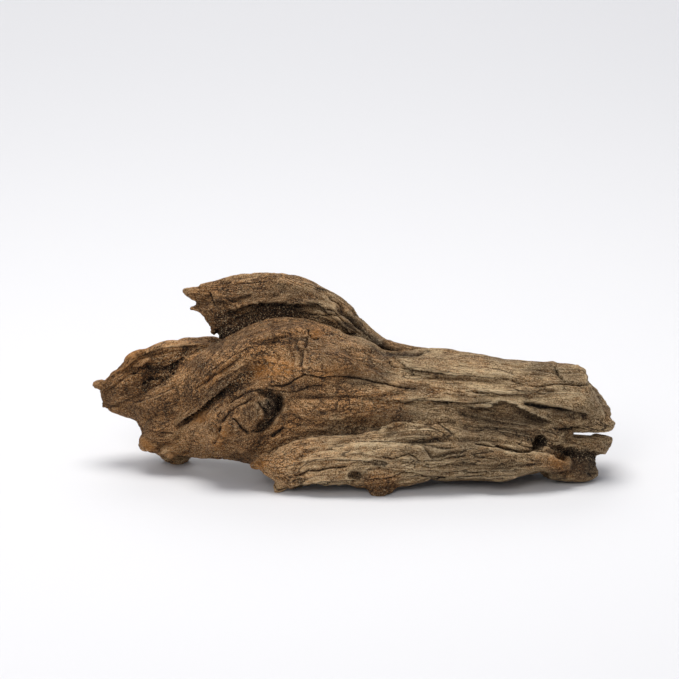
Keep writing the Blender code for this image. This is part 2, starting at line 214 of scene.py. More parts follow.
TRUNK_SPIKES = [
    Spike((-32, 12, -30), (-38.5, 1.6, -29), 4.5),
    Spike((-42, 18, -28), (-50.5, 14.5, -29), 4.0),
    Spike((110, 60, -14), (118, 58.5, -14), 5.0),
    Spike((114, 50, -8), (124, 48.5, -6), 5.0),
    Spike((121, 38, -8), (129.5, 35.5, -7), 4.0),
    Spike((120, 27, -4), (129.5, 28, -3), 3.0),
]
ROOT_SPIKES = [
    Spike((-112, 46, 14), (-126, 42.5, 13), 5.5),
]
BRANCH_SPIKES = [
    Spike((-73, 94, 8), (-83, 93, 7), 4.6),
    Spike((-68, 84, 8), (-71, 80.5, 6), 4.0),
    Spike((-78, 99.8, 8), (-84.4, 102.4, 8), 2.8),
]

# Broad cuts on the face: paths are (x, up). The side of a ledge on the left hand of someone who
# walks along its path stands proud.
TRUNK_CUTS = [
    Ledge([(23, 38.5), (14, 34), (2, 31), (-16, 30), (-28, 28), (-37, 24.5), (-45, 16)], 1.8, 7, 3.4, 6),
    Ledge([(54, 24.5), (44, 23), (31, 26.5), (3, 27.5), (-8, 24.5)], 1.8, 6, 1.6, 4),
    Ledge([(-90, 34), (-81, 40), (-70, 48), (-58, 57)], 1.0, 9, 2.4, 4),
    Ledge([(-2, 48.5), (9, 48.5), (18, 46.3), (28, 47), (41, 47.2), (50, 46.3),
           (58, 44.8)], 1.0, 6, 1.2, 5),
    Ledge([(52, 45), (61, 44.2), (67, 45), (72.2, 47.2), (80, 45.9), (88, 41),
           (99.8, 36.4)], 2.0, 7, 3.0, 7),
    Ledge([(-91, 60), (-86, 68), (-80, 72), (-72, 77)], 3.0, 7, 2.0, 5),
    Ledge([(-84, 44), (-66, 58), (-50, 68)], 0.5, 6, 0.4, 5),
    Ledge([(58, 53), (74, 50.5), (93, 51)], 1.6, 5, 1.4, 5),
    Ledge([(16, 71.5), (28, 63), (46, 60.5), (80, 58)], 1.6, 7, 1.4, 6),
    Ledge([(103, 20), (89, 22), (77, 22), (66, 27)], 2.0, 6, 1.8, 4),
    Hollow(-42, 50.5, 5.5, 1.8, -12, 4.0),
    Hollow(-37.6, 45.5, 5.0, 2.1, 82, 8.0),
    Hollow(-42.5, 37.5, 5.5, 2.2, 52, 4.0),
    Hollow(-52, 60, 10.0, 4.4, 38, 3.0),
    Hollow(-65.5, 30, 6.5, 2.4, 58, -1.8),
    Hollow(-48, 43, 5.0, 3.0, 50, -1.2),
    Ledge([(-34, 3), (-27, 5), (-17, 7.4), (-9, 8), (2, 8)], 0.6, 3, 3.6, 4),
    Hollow(-62, 23, 7.0, 4.0, 10, 3.0),
    Hollow(93.3, 27, 2.4, 2.2, 0, 7.0),
    Hollow(112, 20.6, 12.0, 3.2, -10, 7.5),
    Hollow(0.5, 10.8, 2.8, 1.9, 0, 3.5),
    Hollow(4, 35.5, 15.0, 4.0, 5, 3.2),
    Hollow(74, 40, 24.0, 4.6, -5, 2.8),
    Hollow(14, 67, 9.0, 3.6, -30, 2.0),
]
ROOT_CUTS = [
    Hollow(-97, 61.5, 13.0, 6.0, 32, 6.0),
    Hollow(-110, 52, 7.0, 4.0, 20, 2.5),
    Ledge([(-88, 54), (-100, 49), (-112, 45)], 1.6, 5, 1.6, 5),
    Ledge([(-118, 60), (-108, 69), (-96, 73.5), (-78, 75)], 1.6, 3, 2.4, 5),
]
BRANCH_CUTS = [
    Ledge([(-66, 91), (-54, 94.5), (-46, 96), (-30, 95.5), (-16, 95)], 1.8, 8, 4.4, 9),
    Ledge([(-72, 97), (-62, 97), (-50, 101)], 1.0, 4, 1.0, 4),
    Ledge([(-27, 97.5), (-18, 95), (-10, 88.5), (-2, 81), (9, 75)], 1.4, 3, 1.6, 3),
    Hollow(-74, 97, 4.0, 3.0, 30, 3.0),
]

# The same on the back, seen from the face
TRUNK_BACK_CUTS = [
    Ledge([(-95, 38), (-60, 52), (-20, 60), (30, 56), (80, 52), (104, 50)], 2.4, 9, 2.6, 8),
    Ledge([(-80, 30), (-40, 34), (10, 33), (60, 30), (100, 32)], 1.8, 8, 2.4, 7),
    Ledge([(-10, 72), (30, 66), (75, 61), (100, 61)], 1.6, 7, 2.0, 6),
    Crack([(-70, 44), (-40, 47), (0, 49), (40, 45)], 3.0, 1.2),
    Crack([(20, 41), (60, 38), (92, 40)], 2.8, 1.2),
    Crack([(88, 48), (102, 46), (116, 46)], 3.4, 1.2),
    Hollow(-22, 42, 13.0, 6.0, 10, 4.0),
    Hollow(52, 50, 12.0, 4.0, -6, 3.0),
]
ROOT_BACK_CUTS = [
    Ledge([(-116, 50), (-98, 54), (-80, 60)], 1.8, 7, 2.0, 6),
    Crack([(-108, 60), (-92, 66), (-76, 69)], 2.4, 1.2),
]
BRANCH_BACK_CUTS = [
    Ledge([(-68, 93), (-44, 98), (-20, 95), (0, 84)], 1.8, 7, 2.2, 7),
    Crack([(-56, 103), (-34, 104), (-14, 98)], 2.0, 1.2),
]

# Fine cracks and thin edges on the face
TRUNK_FINE = [
    Crack([(-87, 35), (-80.5, 39.5), (-73.5, 45), (-68.5, 49), (-64, 52.5), (-58, 57)], 3.0, 0.6),
    Crack([(-48, 53.5), (-40, 54.5), (-35, 55), (-28.5, 58.5), (-24.5, 60.2), (-16, 58.2),
           (-9.5, 59.2), (-1.5, 59), (6.5, 57.6), (15.5, 56), (23, 54.5), (36, 52.5)], 1.6, 0.32),
    Crack([(-45.5, 53.5), (-40, 52.3), (-32, 51.5), (-26, 53), (-20.5, 54.5), (-14, 56)], 0.9, 0.22),
    Crack([(-60.5, 39.5), (-58, 37.5), (-56, 34), (-51.5, 30.5)], 2.2, 0.55),
    Crack([(-69.5, 39.5), (-64, 45), (-58, 49.5), (-51, 52), (-44, 52.5)], 1.2, 0.3),
    Crack([(-66, 36), (-62, 41.5), (-56.5, 45.5), (-50, 48.5)], 1.3, 0.4),
    Crack([(-52, 31.5), (-46.5, 33), (-41.5, 37.5), (-38.5, 42)], 1.3, 0.4),
    Crack([(-47.5, 47.5), (-45.5, 43.5), (-42.5, 40.5)], 2.0, 0.5),
    Crack([(-43.5, 48.5), (-42, 45), (-40.5, 42.5)], 1.8, 0.5),
    Hollow(-44, 45.8, 3.2, 1.5, 60, -1.5),
    Hollow(-41.2, 44, 2.4, 1.2, 70, -1.2),
    Hollow(-46.5, 40.5, 3.0, 1.4, 50, -1.0),
    Hollow(-58.5, 34.5, 2.6, 1.6, 60, -1.2),
    Crack([(-41.5, 29), (-38, 31.5), (-34.5, 34)], 2.6, 0.7),
    Crack([(-70.5, 25.5), (-68, 30), (-66, 35.5)], 2.0, 0.55),
    Crack([(-31, 9.5), (-27, 10.5), (-23, 12.5), (-18, 13.5), (-13, 14), (-2, 15)], 2.0, 0.4),
    Crack([(4, 8.5), (13, 8.5), (18, 9), (23, 11), (28, 11.5), (35.5, 10.5)], 1.2, 0.3),
    Crack([(42, 10.5), (46.5, 12), (53, 12.5), (57, 13)], 1.0, 0.3),
    Crack([(13, 19.5), (18, 19), (27, 21), (31, 19), (33, 17)], 1.1, 0.3),
    Crack([(35.5, 18.5), (41, 17.5), (45.5, 19), (56.5, 20)], 1.1, 0.3),
    Ledge([(59, 22), (47, 20.7), (38.7, 18.7), (34, 23.9), (30, 25.9), (18.3, 25.9), (6.5, 26.6),
           (-4, 25.7), (-14, 24.2)], 0.9, 2.5, 1.3, 1.6),
    Ledge([(-10, 19.8), (1, 21.3), (12, 20), (21, 19.3), (31.4, 16.7), (38, 14), (47, 16.7),
           (62, 18)], 0.5, 2.5, 0.7, 1.4),
    Ledge([(2.5, 11), (7, 14), (11.7, 15), (21, 12.8), (34, 10.8), (44, 9)], 0.4, 2.5, 0.7, 1.4),
    Ledge([(54, 35.6), (45, 36), (36, 35.2), (27.5, 36.4), (21, 37), (14.5, 33.8),
           (8.5, 30)], 0.7, 2.5, 1.1, 1.6),
    Ledge([(-34, 12), (-27, 16.5), (-18, 18), (-8, 17)], 0.5, 2.5, 0.7, 1.4),
    Ledge([(-30, 20.5), (-20, 24), (-8, 23.2)], 0.5, 2.5, 0.6, 1.4),
    Ledge([(42, 51.5), (52, 50.5), (62, 49.6), (75, 50.3)], 0.5, 2.5, 0.8, 1.6),
    Ledge([(17.6, 64), (26, 61.5), (40.6, 58.8), (52, 59.2)], 0.5, 2.5, 0.7, 1.4),
    Ledge([(30, 56.5), (43, 54.2), (51, 51.8), (62, 52.3)], 0.4, 2.5, 0.6, 1.4),
    Ledge([(101, 64.5), (102.5, 60.8), (105, 57.5), (111.7, 56.2)], 0.5, 2.0, 0.8, 1.4),
    Crack([(58, 32), (65.5, 33.5), (73, 33), (79, 32), (83, 30.5), (89, 29.8)], 1.2, 0.3),
    Crack([(58, 26.5), (68, 25), (77, 23.5), (80, 22.2), (93, 22.5)], 1.6, 0.35),
    Crack([(83, 46), (90.5, 45), (95.5, 44), (100.5, 42.5), (110.5, 40.2), (118, 38.6)], 4.2, 0.9),
    Crack([(6, 50.5), (12, 48), (23, 46.5), (35.5, 47), (48, 46), (55.5, 45.5), (71.5, 47)], 1.2, 0.3),
    Crack([(58, 52), (63, 51), (70.5, 50.5), (76, 50.5)], 1.0, 0.25),
    Crack([(75.5, 54), (83, 53), (93, 51)], 0.8, 0.25),
    Crack([(75.5, 57.5), (80.5, 56.5), (90.5, 55), (103, 55.5), (119, 55.5)], 1.8, 0.35),
    Crack([(99.5, 64.5), (101, 62), (104, 58), (110.5, 57)], 1.1, 0.3),
    Crack([(98, 34.5), (103, 32.5), (110.5, 33.2), (116, 32.6)], 1.8, 0.4),
    Crack([(16.5, 69), (19, 65), (23, 63.5), (33, 61.8), (46.5, 60.5)], 1.0, 0.3),
    Crack([(12, 74), (18, 71.5), (24, 70.8), (31, 71), (36, 71.5)], 2.6, 0.8),
    Crack([(-22.5, 83.5), (-22.6, 81), (-20.5, 79.6), (-16.5, 78.8)], 1.8, 0.45),
    Crack([(-24, 80), (-23.6, 77), (-24.5, 73)], 1.6, 0.5),
    Crack([(-25, 73), (-26, 69), (-28, 64)], 0.6, 0.8),
    Crack([(-41, 78), (-33, 78.5), (-25, 76.5)], 0.6, 0.25),
    Crack([(-102, 44), (-98, 46), (-93.5, 48.5), (-89, 51)], 1.6, 0.4),
    Crack([(-97, 30.5), (-93, 31.5), (-89.5, 31)], 1.0, 0.3),
    Crack([(-80, 52), (-68, 61), (-56, 69)], 0.7, 0.25),
    Crack([(-74, 60), (-62, 69), (-52, 74)], 0.5, 0.25),
    Ledge([(61, 44.2), (67, 45), (72.2, 47.2), (77, 46.8), (83, 44), (88, 41), (93, 39),
           (99.8, 36.4)], 1.2, 2.2, 0.6, 2),
    Ledge([(89, 29.8), (83, 31), (79, 32.5), (73, 33.5), (65, 34), (58, 32.5)], 0.9, 2.6, 0.7, 2),
    Ledge([(109, 16.5), (105.5, 20), (100.5, 22.5), (95.5, 24), (85.5, 22.5)], 1.2, 3, 1.4, 3),
    Ledge([(125.5, 37), (123, 45), (120.5, 50), (116.5, 56), (113.5, 63)], 0.6, 3, 2.4, 5),
]
ROOT_FINE = [
    Crack([(-87, 74), (-79.5, 74.2), (-72, 74.5)], 1.2, 0.35),
    Crack([(-93, 61), (-90, 65), (-85, 69)], 2.2, 0.5),
    Crack([(-106, 55), (-101, 58), (-96, 59)], 1.8, 0.7),
    Crack([(-112, 60), (-107, 63), (-101, 64)], 1.0, 0.4),
]
BRANCH_FINE = [
    Crack([(-20, 105), (-14, 101.5), (-8, 96.5), (-3.5, 92), (-0.5, 88.2), (3.5, 83.8)], 2.6, 0.6),
    Crack([(-10, 94), (-5.3, 91.8), (-0.9, 89.6), (1.3, 86.3), (4.7, 83.5), (8, 80.7), (11.9, 78),
           (15.8, 74.6), (18, 71.8), (22, 71)], 5.0, 1.3),
    Crack([(5, 79.6), (7, 78), (10.8, 74.6), (15.3, 71.3), (18, 70.2)], 2.4, 0.5),
    Ledge([(-0.3, 86.3), (3.6, 82.4), (8, 78), (12.5, 74.6), (17.5, 71.8)], 1.2, 0.8, 0.6, 1),
    Ledge([(-32, 91), (-24.5, 91.5), (-16, 89), (-8, 85)], 0.8, 2.0, 0.9, 2),
    Crack([(-24.5, 90.5), (-14.5, 90), (-8, 89.5), (-2, 84)], 1.2, 0.35),
    Crack([(-21, 96), (-14.5, 93.5), (-9.5, 92), (-6, 88.5)], 1.1, 0.35),
    Crack([(-64.5, 99.5), (-62, 97), (-55.5, 96.5)], 1.0, 0.3),
    Crack([(-59, 105.5), (-53.5, 105.5), (-43, 107)], 0.8, 0.3),
    Crack([(-72, 102.5), (-71, 97.5), (-69, 94)], 1.1, 0.35),
]

# Lines that the grain follows, each as its height at places along x, with its name in millimetres
# of grain: the wood between two lines is counted evenly between their names
TRUNK_GRAIN = {
    5: [(-110, 16), (-70, 17), (-50, 11), (-38, 5), (-10, 5), (50, 7), (125, 9)],
    20: [(-110, 24), (-90, 22), (-70, 21), (-50, 19), (-10, 18), (50, 19), (125, 16)],
    33: [(-110, 28), (-70, 25), (-55, 25), (-42, 26), (0, 32), (25, 37), (50, 35.5), (88, 30), (125, 24)],
    46: [(-110, 31), (-90, 33.5), (-70, 46), (-55, 52.5), (-42, 50), (-28, 46), (20, 47), (80, 45),
         (125, 34)],
    55: [(-110, 34), (-90, 42), (-75, 53), (-58, 62.5), (-45, 63), (-30, 58), (0, 59), (38, 53),
         (125, 48)],
    64: [(-110, 37), (-90, 56), (-66, 73), (-45, 77), (-20, 73), (17, 67), (50, 60.5), (125, 56)],
    72: [(-110, 40), (-90, 64), (-70, 79), (-35, 89), (-15, 87), (20, 72.5), (75, 67), (125, 66)],
}
ROOT_GRAIN = {
    40: [(-128, 46), (-114, 41), (-99, 31), (-80, 38), (-58, 50)],
    62: [(-128, 50), (-110, 54), (-92, 56), (-75, 62), (-58, 66)],
    84: [(-128, 56), (-114, 67), (-99, 75), (-80, 78), (-58, 77)],
}
BRANCH_GRAIN = {
    70: [(-86, 92), (-65, 78), (-50, 84), (-35, 87), (-15, 84), (5, 76), (20, 69), (40, 64)],
    88: [(-86, 100), (-62, 95), (-40, 96), (-15, 94), (0, 86), (15, 75), (40, 69)],
    104: [(-86, 104), (-65, 108), (-40, 112), (-15, 103), (0, 93), (15, 80), (40, 73)],
}
KNOT = Hollow(-57, 37, 12.0, 11.0, 0, 9.0)  # the grain climbs this far over the knot

# Where the colour of the wood changes: ovals on the face, by their tone. The shade ovals are painted
# shade in recesses, under edges and in the gaps round the branch. Most dark ovals are dark crumbled
# wood, and some are painted shade in gaps; most pale ovals are bleached wood, and a few are painted
# light on places in shade.
PATCHES = {
    "rust": [
        Patch(-75, 50, 72, 60, 0, 0.85), Patch(-13, 68, 22, 13, 0, 0.75), Patch(4, 45, 22, 10, -5, 0.75),
        Patch(33, 53.5, 18, 3.5, -8, 0.5), Patch(15, 70, 12, 8, 0, 0.4), Patch(-75, 104, 14, 7, 0, 0.7),
        Patch(-30, 108, 30, 4, 0, 0.45), Patch(103, 17, 12, 6, -20, 0.7), Patch(13, 7, 9, 6, 0, 0.8),
    ],
    "ochre": [
        Patch(-65.5, 30, 7, 2.8, 58, 0.95), Patch(-42.5, 63.5, 9, 5, 20, 0.75),
        Patch(-103, 24.5, 5, 2, -40, 0.9), Patch(-89, 19, 7, 3, 0, 0.5), Patch(-47, 15.5, 5, 3, 20, 0.9),
        Patch(-75.5, 39, 5, 2.5, 20, 0.8), Patch(-18.5, 80.6, 3.4, 2.0, 0, 1.0),
        Patch(-8, 62, 10, 4, 0, 0.35), Patch(-112, 68, 12, 3.5, 40, 0.7),
        Patch(101.5, 17, 4.5, 3, -30, 0.6), Patch(-68, 61, 12, 2.5, 40, 0.4),
    ],
    "pale": [
        Patch(85, 50.5, 38, 4.5, -3, 1.0), Patch(50, 51.5, 22, 4, -3, 0.8),
        Patch(20, 26.5, 42, 3, -2, 0.9), Patch(-20, 21, 26, 9, 8, 1.0), Patch(-18, 7, 20, 4, 0, 0.7),
        Patch(-14, 92, 14, 4, -20, 0.8), Patch(9, 76, 10, 7, -35, 0.6), Patch(60, 62, 55, 8, -2, 0.6),
        Patch(30, 15, 34, 7, 0, 0.5), Patch(-30, 68, 18, 9, 20, 0.35), Patch(-72, 31, 16, 6, 0, 0.3),
        # The oval at x -83, up 22 is painted light on the stub under the left end, which lies in shade
        Patch(-83, 22, 16, 5, 0, 0.5), Patch(-86, 70, 14, 3, 8, 0.6), Patch(-43.5, 44.5, 4, 2.4, 62, 0.9),
        Patch(-58.5, 36, 3, 3, 60, 0.7), Patch(-46, 42, 5, 3, 50, 0.9), Patch(-98, 56, 9, 4, 20, 0.4),
    ],
    "dark": [
        Patch(-42, 50.5, 5, 1.5, -12, 0.85), Patch(-37.6, 45.5, 4.6, 1.9, 82, 1.0),
        Patch(-42.5, 37.5, 5, 1.8, 52, 0.7), Patch(-98, 60, 12, 5.5, 32, 0.65),
        # The oval at x -66, up 81 is painted shade in the gap below the branch
        Patch(-57, 56.5, 13, 4, 38, 0.7), Patch(-66, 81, 7, 4, 30, 1.0), Patch(1, 35.5, 15, 3.8, 4, 0.5),
        Patch(112.5, 20.5, 12, 3.4, -10, 0.95), Patch(93.3, 27, 2.6, 2.4, 0, 1.0),
        Patch(-70, 62, 16, 8, 40, 0.25), Patch(-112, 52, 14, 10, 0, 0.3), Patch(10, 70, 13, 6, -20, 0.35),
        Patch(30, 42, 22, 5, 0, 0.25), Patch(-40, 105, 24, 6, 0, 0.25), Patch(13, 3, 7, 3, 0, 0.5),
        Patch(-13, 4, 15, 2.6, 4, 0.55),
    ],
    # Painted shade: these ovals only darken the colour towards the shadow colour
    "painted_shade": [
        Patch(8, 61, 11, 6, -10, 0.7), Patch(-44, 47, 14, 10, 0, 0.6), Patch(-92, 44, 30, 11, 0, 0.4),
        Patch(-66, 48, 12, 5, 40, 0.5), Patch(-38, 98, 26, 7, 0, 0.6), Patch(-18, 72, 18, 8, -10, 0.5),
        Patch(-55, 36, 16, 10, 0, 0.45), Patch(84, 38, 22, 6, -8, 0.3), Patch(60, 28, 12, 3, 0, 0.5),
        Patch(48, 22, 22, 4, 0, 0.5), Patch(66, 13, 18, 6, 0, 0.45), Patch(114, 14.5, 9, 6, 0, 0.9),
        Patch(4, 82, 12, 5, -38, 0.6),
    ],
}
TRUNK_PATCHES = {
    "rust": [
        Patch(-30, 80, 26, 8, 0, 0.9), Patch(14, 4, 10, 4, 0, 1.0),
    ],
    "ochre": [
        Patch(-36, 63, 7, 4, 20, 0.8), Patch(4, 62.5, 9, 3, -5, 0.5),
    ],
    "pale": [
        # Ovals at x -86, up 65 and x 30, up 48 are painted light: on the plank's top edge and by a ledge
        Patch(-86, 65, 7, 2.2, 48, 0.6), Patch(-76, 45, 13, 1.6, 40, 0.5), Patch(30, 48, 14, 2.5, 0, 0.7),
        Patch(70, 57, 14, 4, 0, 0.7), Patch(16, 47, 14, 3.4, -2, 1.0), Patch(12, 36, 7, 4, 35, 1.0),
        Patch(66, 59, 16, 3.2, -2, 1.0), Patch(40, 47.5, 10, 2.2, 0, 0.8), Patch(84, 11, 12, 3, 0, 0.9),
        Patch(12, 53, 6, 2, 0, 0.8), Patch(12, 17.5, 6, 3, 0, 0.8), Patch(101, 21.5, 4, 2.5, -20, 0.6),
        Patch(-8, 76, 7, 4, 0, 0.5),
    ],
    "dark": [
        Patch(-41, 44, 5, 6, -20, 0.8), Patch(-65, 55, 9, 2.6, 42, 0.6),
        Patch(-10, 80, 6.5, 4, -20, 0.45),
    ],
    # Painted shade on the trunk: in hollows, cracks, recesses and under ledges
    "painted_shade": [
        Patch(21, 71.4, 11, 3, -3, 1.0), Patch(-43, 45.5, 6, 7.5, -20, 0.7),
        Patch(-106, 38, 6, 7, 0, 0.8), Patch(-79, 67, 5, 7, 40, 0.6), Patch(14, 3.5, 7, 3.5, 0, 0.6),
        Patch(31, 53.5, 9, 2.6, -8, 0.8), Patch(106, 58.5, 8, 5, -20, 0.45),
        Patch(113, 41, 8, 3, -10, 0.6), Patch(39, 27, 10, 3.2, -25, 0.6), Patch(-58, 79, 12, 3, 38, 0.5),
        Patch(12, 74.5, 8, 3.4, -40, 1.0), Patch(62, 32, 12, 3.5, -8, 0.6),
        Patch(77, 35.5, 23, 6, -6, 0.65), Patch(104, 41, 8, 3, -15, 0.8),
        Patch(78, 67.5, 12, 2.4, -3, 0.45), Patch(95, 43.8, 9, 1.3, -12, 1.0),
        Patch(94, 63, 9, 4, 0, 0.6), Patch(120, 46, 5, 6, 0, 0.5), Patch(62, 46.5, 8, 2, 0, 0.4),
        Patch(4, 59, 13, 3.6, -4, 0.75), Patch(-28, 54, 9, 3, 0, 0.7), Patch(-15, 32, 6, 5, 0, 0.5),
        Patch(-55, 17.5, 10, 3, 0, 0.5), Patch(-61, 29, 6, 4, 0, 0.4), Patch(21, 41, 14, 3, 0, 0.6),
        Patch(-51, 42, 5, 4, 0, 0.8), Patch(57, 26.5, 7, 5, 0, 0.65), Patch(21, 30, 6, 2.4, 0, 0.6),
        Patch(-69, 76, 6, 4, 40, 0.9), Patch(-44, 83, 22, 4, 12, 0.45), Patch(116, 18, 8, 5, 0, 0.75),
        Patch(3, 11, 5, 3, 0, 0.6), Patch(102, 11, 6, 3, 0, 0.5), Patch(40, 11, 9, 3, 0, 0.4),
        Patch(93, 23, 5, 2.5, 0, 0.5), Patch(-41.5, 45, 5.5, 7, -20, 1.0), Patch(-67, 54, 9, 3, 42, 0.7),
        Patch(93.3, 27, 2.6, 2.4, 0, 1.0), Patch(110, 20.5, 10, 2.4, -12, 0.9),
    ],
}
ROOT_PATCHES = {
    "pale": [
        Patch(-84, 76, 14, 2.2, 4, 0.7),
    ],
    "dark": [
        # The first is painted shade where the plank in front meets the root
        Patch(-93, 61, 3.5, 9, -30, 0.9), Patch(-84, 71, 9, 1.6, 15, 0.8),
    ],
}
BRANCH_PATCHES = {
    "rust": [
        Patch(-79, 99, 9, 5, 0, 0.9),
    ],
    "pale": [
        Patch(-12, 89, 9, 1.3, -12, 1.0), Patch(-14, 99, 9, 2.0, -35, 0.9),
    ],
    "dark": [
        # Dark crumbled wood with painted shade below the branch, along its channel and over the root
        Patch(-42, 87, 26, 6, 4, 0.8), Patch(-38, 93, 14, 3.6, 2, 0.9), Patch(-62, 88, 10, 7, 0, 0.7),
        Patch(-63, 80.5, 5.5, 3.4, 20, 1.0), Patch(-16, 86.5, 13, 2.0, -16, 0.9),
        Patch(-1, 80.5, 9, 1.6, -34, 0.9),
    ],
    # Painted shade on the branch: below it, along its channel and in the gap over the root
    "painted_shade": [
        Patch(-38, 92.5, 18, 4, 2, 0.8), Patch(-50, 87, 10, 4, 25, 0.7), Patch(-66, 89, 9, 9, 0, 0.55),
        Patch(-63, 80.5, 6.5, 4, 20, 1.0), Patch(-68, 96, 5, 3, 0, 0.7), Patch(-16, 93, 6, 1.5, -20, 0.8),
        Patch(-3, 84.8, 5, 1.6, -20, 1.0), Patch(-1.5, 89.5, 5, 2.0, -35, 1.0),
        Patch(5, 83, 6, 1.7, -43, 1.0), Patch(12.5, 76.6, 9, 3.2, -43, 1.0), Patch(-74, 95, 6, 4, 0, 0.5),
        Patch(-20, 95, 9, 3, -10, 0.5), Patch(19, 71.6, 6, 2.0, -20, 1.0),
    ],
}
# A patch is full inside half its oval, and fades to nothing at one and a half
TONES = ("rust", "ochre", "pale", "dark", "painted_shade")
PATCH_EDGE = 1.5
FACE_TONES = ("dark", "painted_shade")  # these stay off the back
BACK_SHARE = 0.35  # how much of the other tones the back has

# Each limb: what it is made of, and how rusty it is where no patch says more
Design = namedtuple(
    "Design", "tubes lumps spikes face_cuts back_cuts fine_cuts grain patches knot warmth"
)
TRUNK = Design(
    tubes=[BODY, SLAB, PLANK, UPPER_PRONG, MIDDLE_PRONG, LOWER_PRONG], lumps=FEET + TRUNK_LUMPS,
    spikes=TRUNK_SPIKES, face_cuts=TRUNK_CUTS, back_cuts=TRUNK_BACK_CUTS, fine_cuts=TRUNK_FINE,
    grain=TRUNK_GRAIN, patches=TRUNK_PATCHES, knot=KNOT, warmth=0.15,
)
BRANCH = Design(
    tubes=[UPPER_BRANCH], lumps=[], spikes=BRANCH_SPIKES, face_cuts=BRANCH_CUTS,
    back_cuts=BRANCH_BACK_CUTS, fine_cuts=BRANCH_FINE, grain=BRANCH_GRAIN, patches=BRANCH_PATCHES,
    knot=None, warmth=0.3,
)
ROOT = Design(
    tubes=[LEFT_ROOT], lumps=ROOT_LUMPS, spikes=ROOT_SPIKES, face_cuts=ROOT_CUTS,
    back_cuts=ROOT_BACK_CUTS, fine_cuts=ROOT_FINE, grain=ROOT_GRAIN, patches=ROOT_PATCHES,
    knot=None, warmth=0.7,
)

# How cuts bite: a hollow's depth is eased from a start that falls with the distance from its middle
HOLLOW_START = 1.75
HOLLOW_FALL = 1.25
HOLLOW_REACH = 1.5
LINE_REACH = 4
CRACK_SOFTNESS = 0.25
END_SHARE = 0.15

# How cracks and ledges are marked for the finish, in mm: the way across where there is none, how
# far a mark reaches, and the step of a ledge and the depth of a crack that are marked in full
NO_LINE = 3.0
MARK_REACH = 1.5
FULL_STEP = 3.5
FULL_CRACK = 2.5

# The seam between face and back, in mm, and the share of the face from which the mesh is finer
SEAM_INTO = 4
SEAM_WIDTH = 10
FINE_FACE = 0.2

# Noise: its size is in mm, and its amount is how far it swings, in the units of what it moves
Noise = namedtuple("Noise", "size seed amount")
TABLE_SIZE = 4096
CORNER_KEYS = np.array([73856093, 19349663, 83492791])
SLOPE_GAIN = 1.6
ACROSS = (0, 1, 1)

# The lumps that the solids have too: their grain falls to the left of a place
LUMP_WAVES = [Noise((46.0, 12.0, 12.0), 11, 1.7), Noise((22.0, 6.0, 6.0), 23, 1.0)]
LUMP_SPLITS = Noise((60.0, 11.0, 11.0), 37, 1.5)
LUMP_SPLIT_WIDTH = 0.16
GRAIN_BEND_X = -30.0
GRAIN_FALL = 0.55

# How far the fine cuts wander along the wood and up it
WANDER_WAVES = [
    [Noise(7.0, 101, 0.7), Noise(2.2, 103, 0.35)],
    [Noise(7.0, 107, 0.7), Noise(2.2, 109, 0.35)],
]

# Worn layers: their seeds, how they tilt into the wood, how wide their edges are and where they show
THICK_LAYER = 6.5
THIN_LAYER = 2.6
THICK_SEED = 41
THIN_SEED = 47
THIN_SHARE = 0.45
LAYER_TILT = 0.6
LAYER_LEVELS = 512
LAYER_EDGE = 0.1
LAYER_WAVES = [
    Noise((70.0, 11.0, 11.0), 0, 1.3), Noise((16.0, 4.5, 4.5), 1, 0.26), Noise((4.0, 2.0, 2.0), 2, 0.08),
]
LAYERS_SHOWN = Noise((40.0, 12.0, 12.0), 53, 0.9)
LAYERS_SHOWN_START = 0.6
LAYERS_WORN = 0.5

# Short open splits: how they bend, where they open, and their lines with depth and half width
SPLIT_BEND = Noise((9.0, 4.0, 4.0), 53, 0.8)
SPLITS_SHOWN = Noise((26.0, 7.0, 7.0), 60, 1.8)
SPLITS_SHOWN_START = 0.05
SPLITS_LOST_IN_RUST = 0.7
LONG_SPLIT = Noise((48.0, 6.0, 6.0), 59, 0.6)
LONG_SPLIT_WIDTH = 0.07
SHORT_SPLIT = Noise((21.0, 2.6, 2.6), 61, 0.35)
SHORT_SPLIT_WIDTH = 0.10

# Bundles of fibres of three sizes, dents along them, and crumbs where the wood is rough
FIBRE_BEND = Noise((12.0, 3.0, 3.0), 67, 0.6)
FIBRE_BUNDLES = [
    Noise((26.0, 2.6, 2.6), 71, 1.0), Noise((14.0, 1.3, 1.3), 73, 0.6), Noise((7.0, 0.75, 0.75), 79, 0.35),
]
DENTS = Noise((4.8, 1.6, 1.6), 83, 0.16)
CRUMB_WAVES = [Noise(2.4, 87, 1.0), Noise(1.2, 89, 0.9)]
CRUMBS_ALL_OVER = 0.06
CRUMBS_WHERE_ROUGH = 0.85

# Growth ripples across the shoulder: where they lie and how high, and the strong ones among them
RIPPLES = Patch(-22, 70, 22, 11, 0, 0.13)
RIPPLE_EDGE = 1.6
RIPPLE_PERIOD = 4.2
RIPPLE_BEND = Noise((9.0, 14.0, 9.0), 97, 2.0)
RIPPLE_LEAN = 0.15
RIPPLE_LEAN_UP = 68
STRONG_RIPPLE_X = -27
STRONG_RIPPLE_WIDTH = 4.0
STRONG_RIPPLE = 0.75

# How far a point is sunk: rounds of smoothing for the skin near it and wide round it, and the
# depths in mm that count as wholly sunk
NEAR_ROUNDS = 8
WIDE_ROUNDS = 50
NEAR_SUNK = 0.35
WIDE_SUNK = 1.6

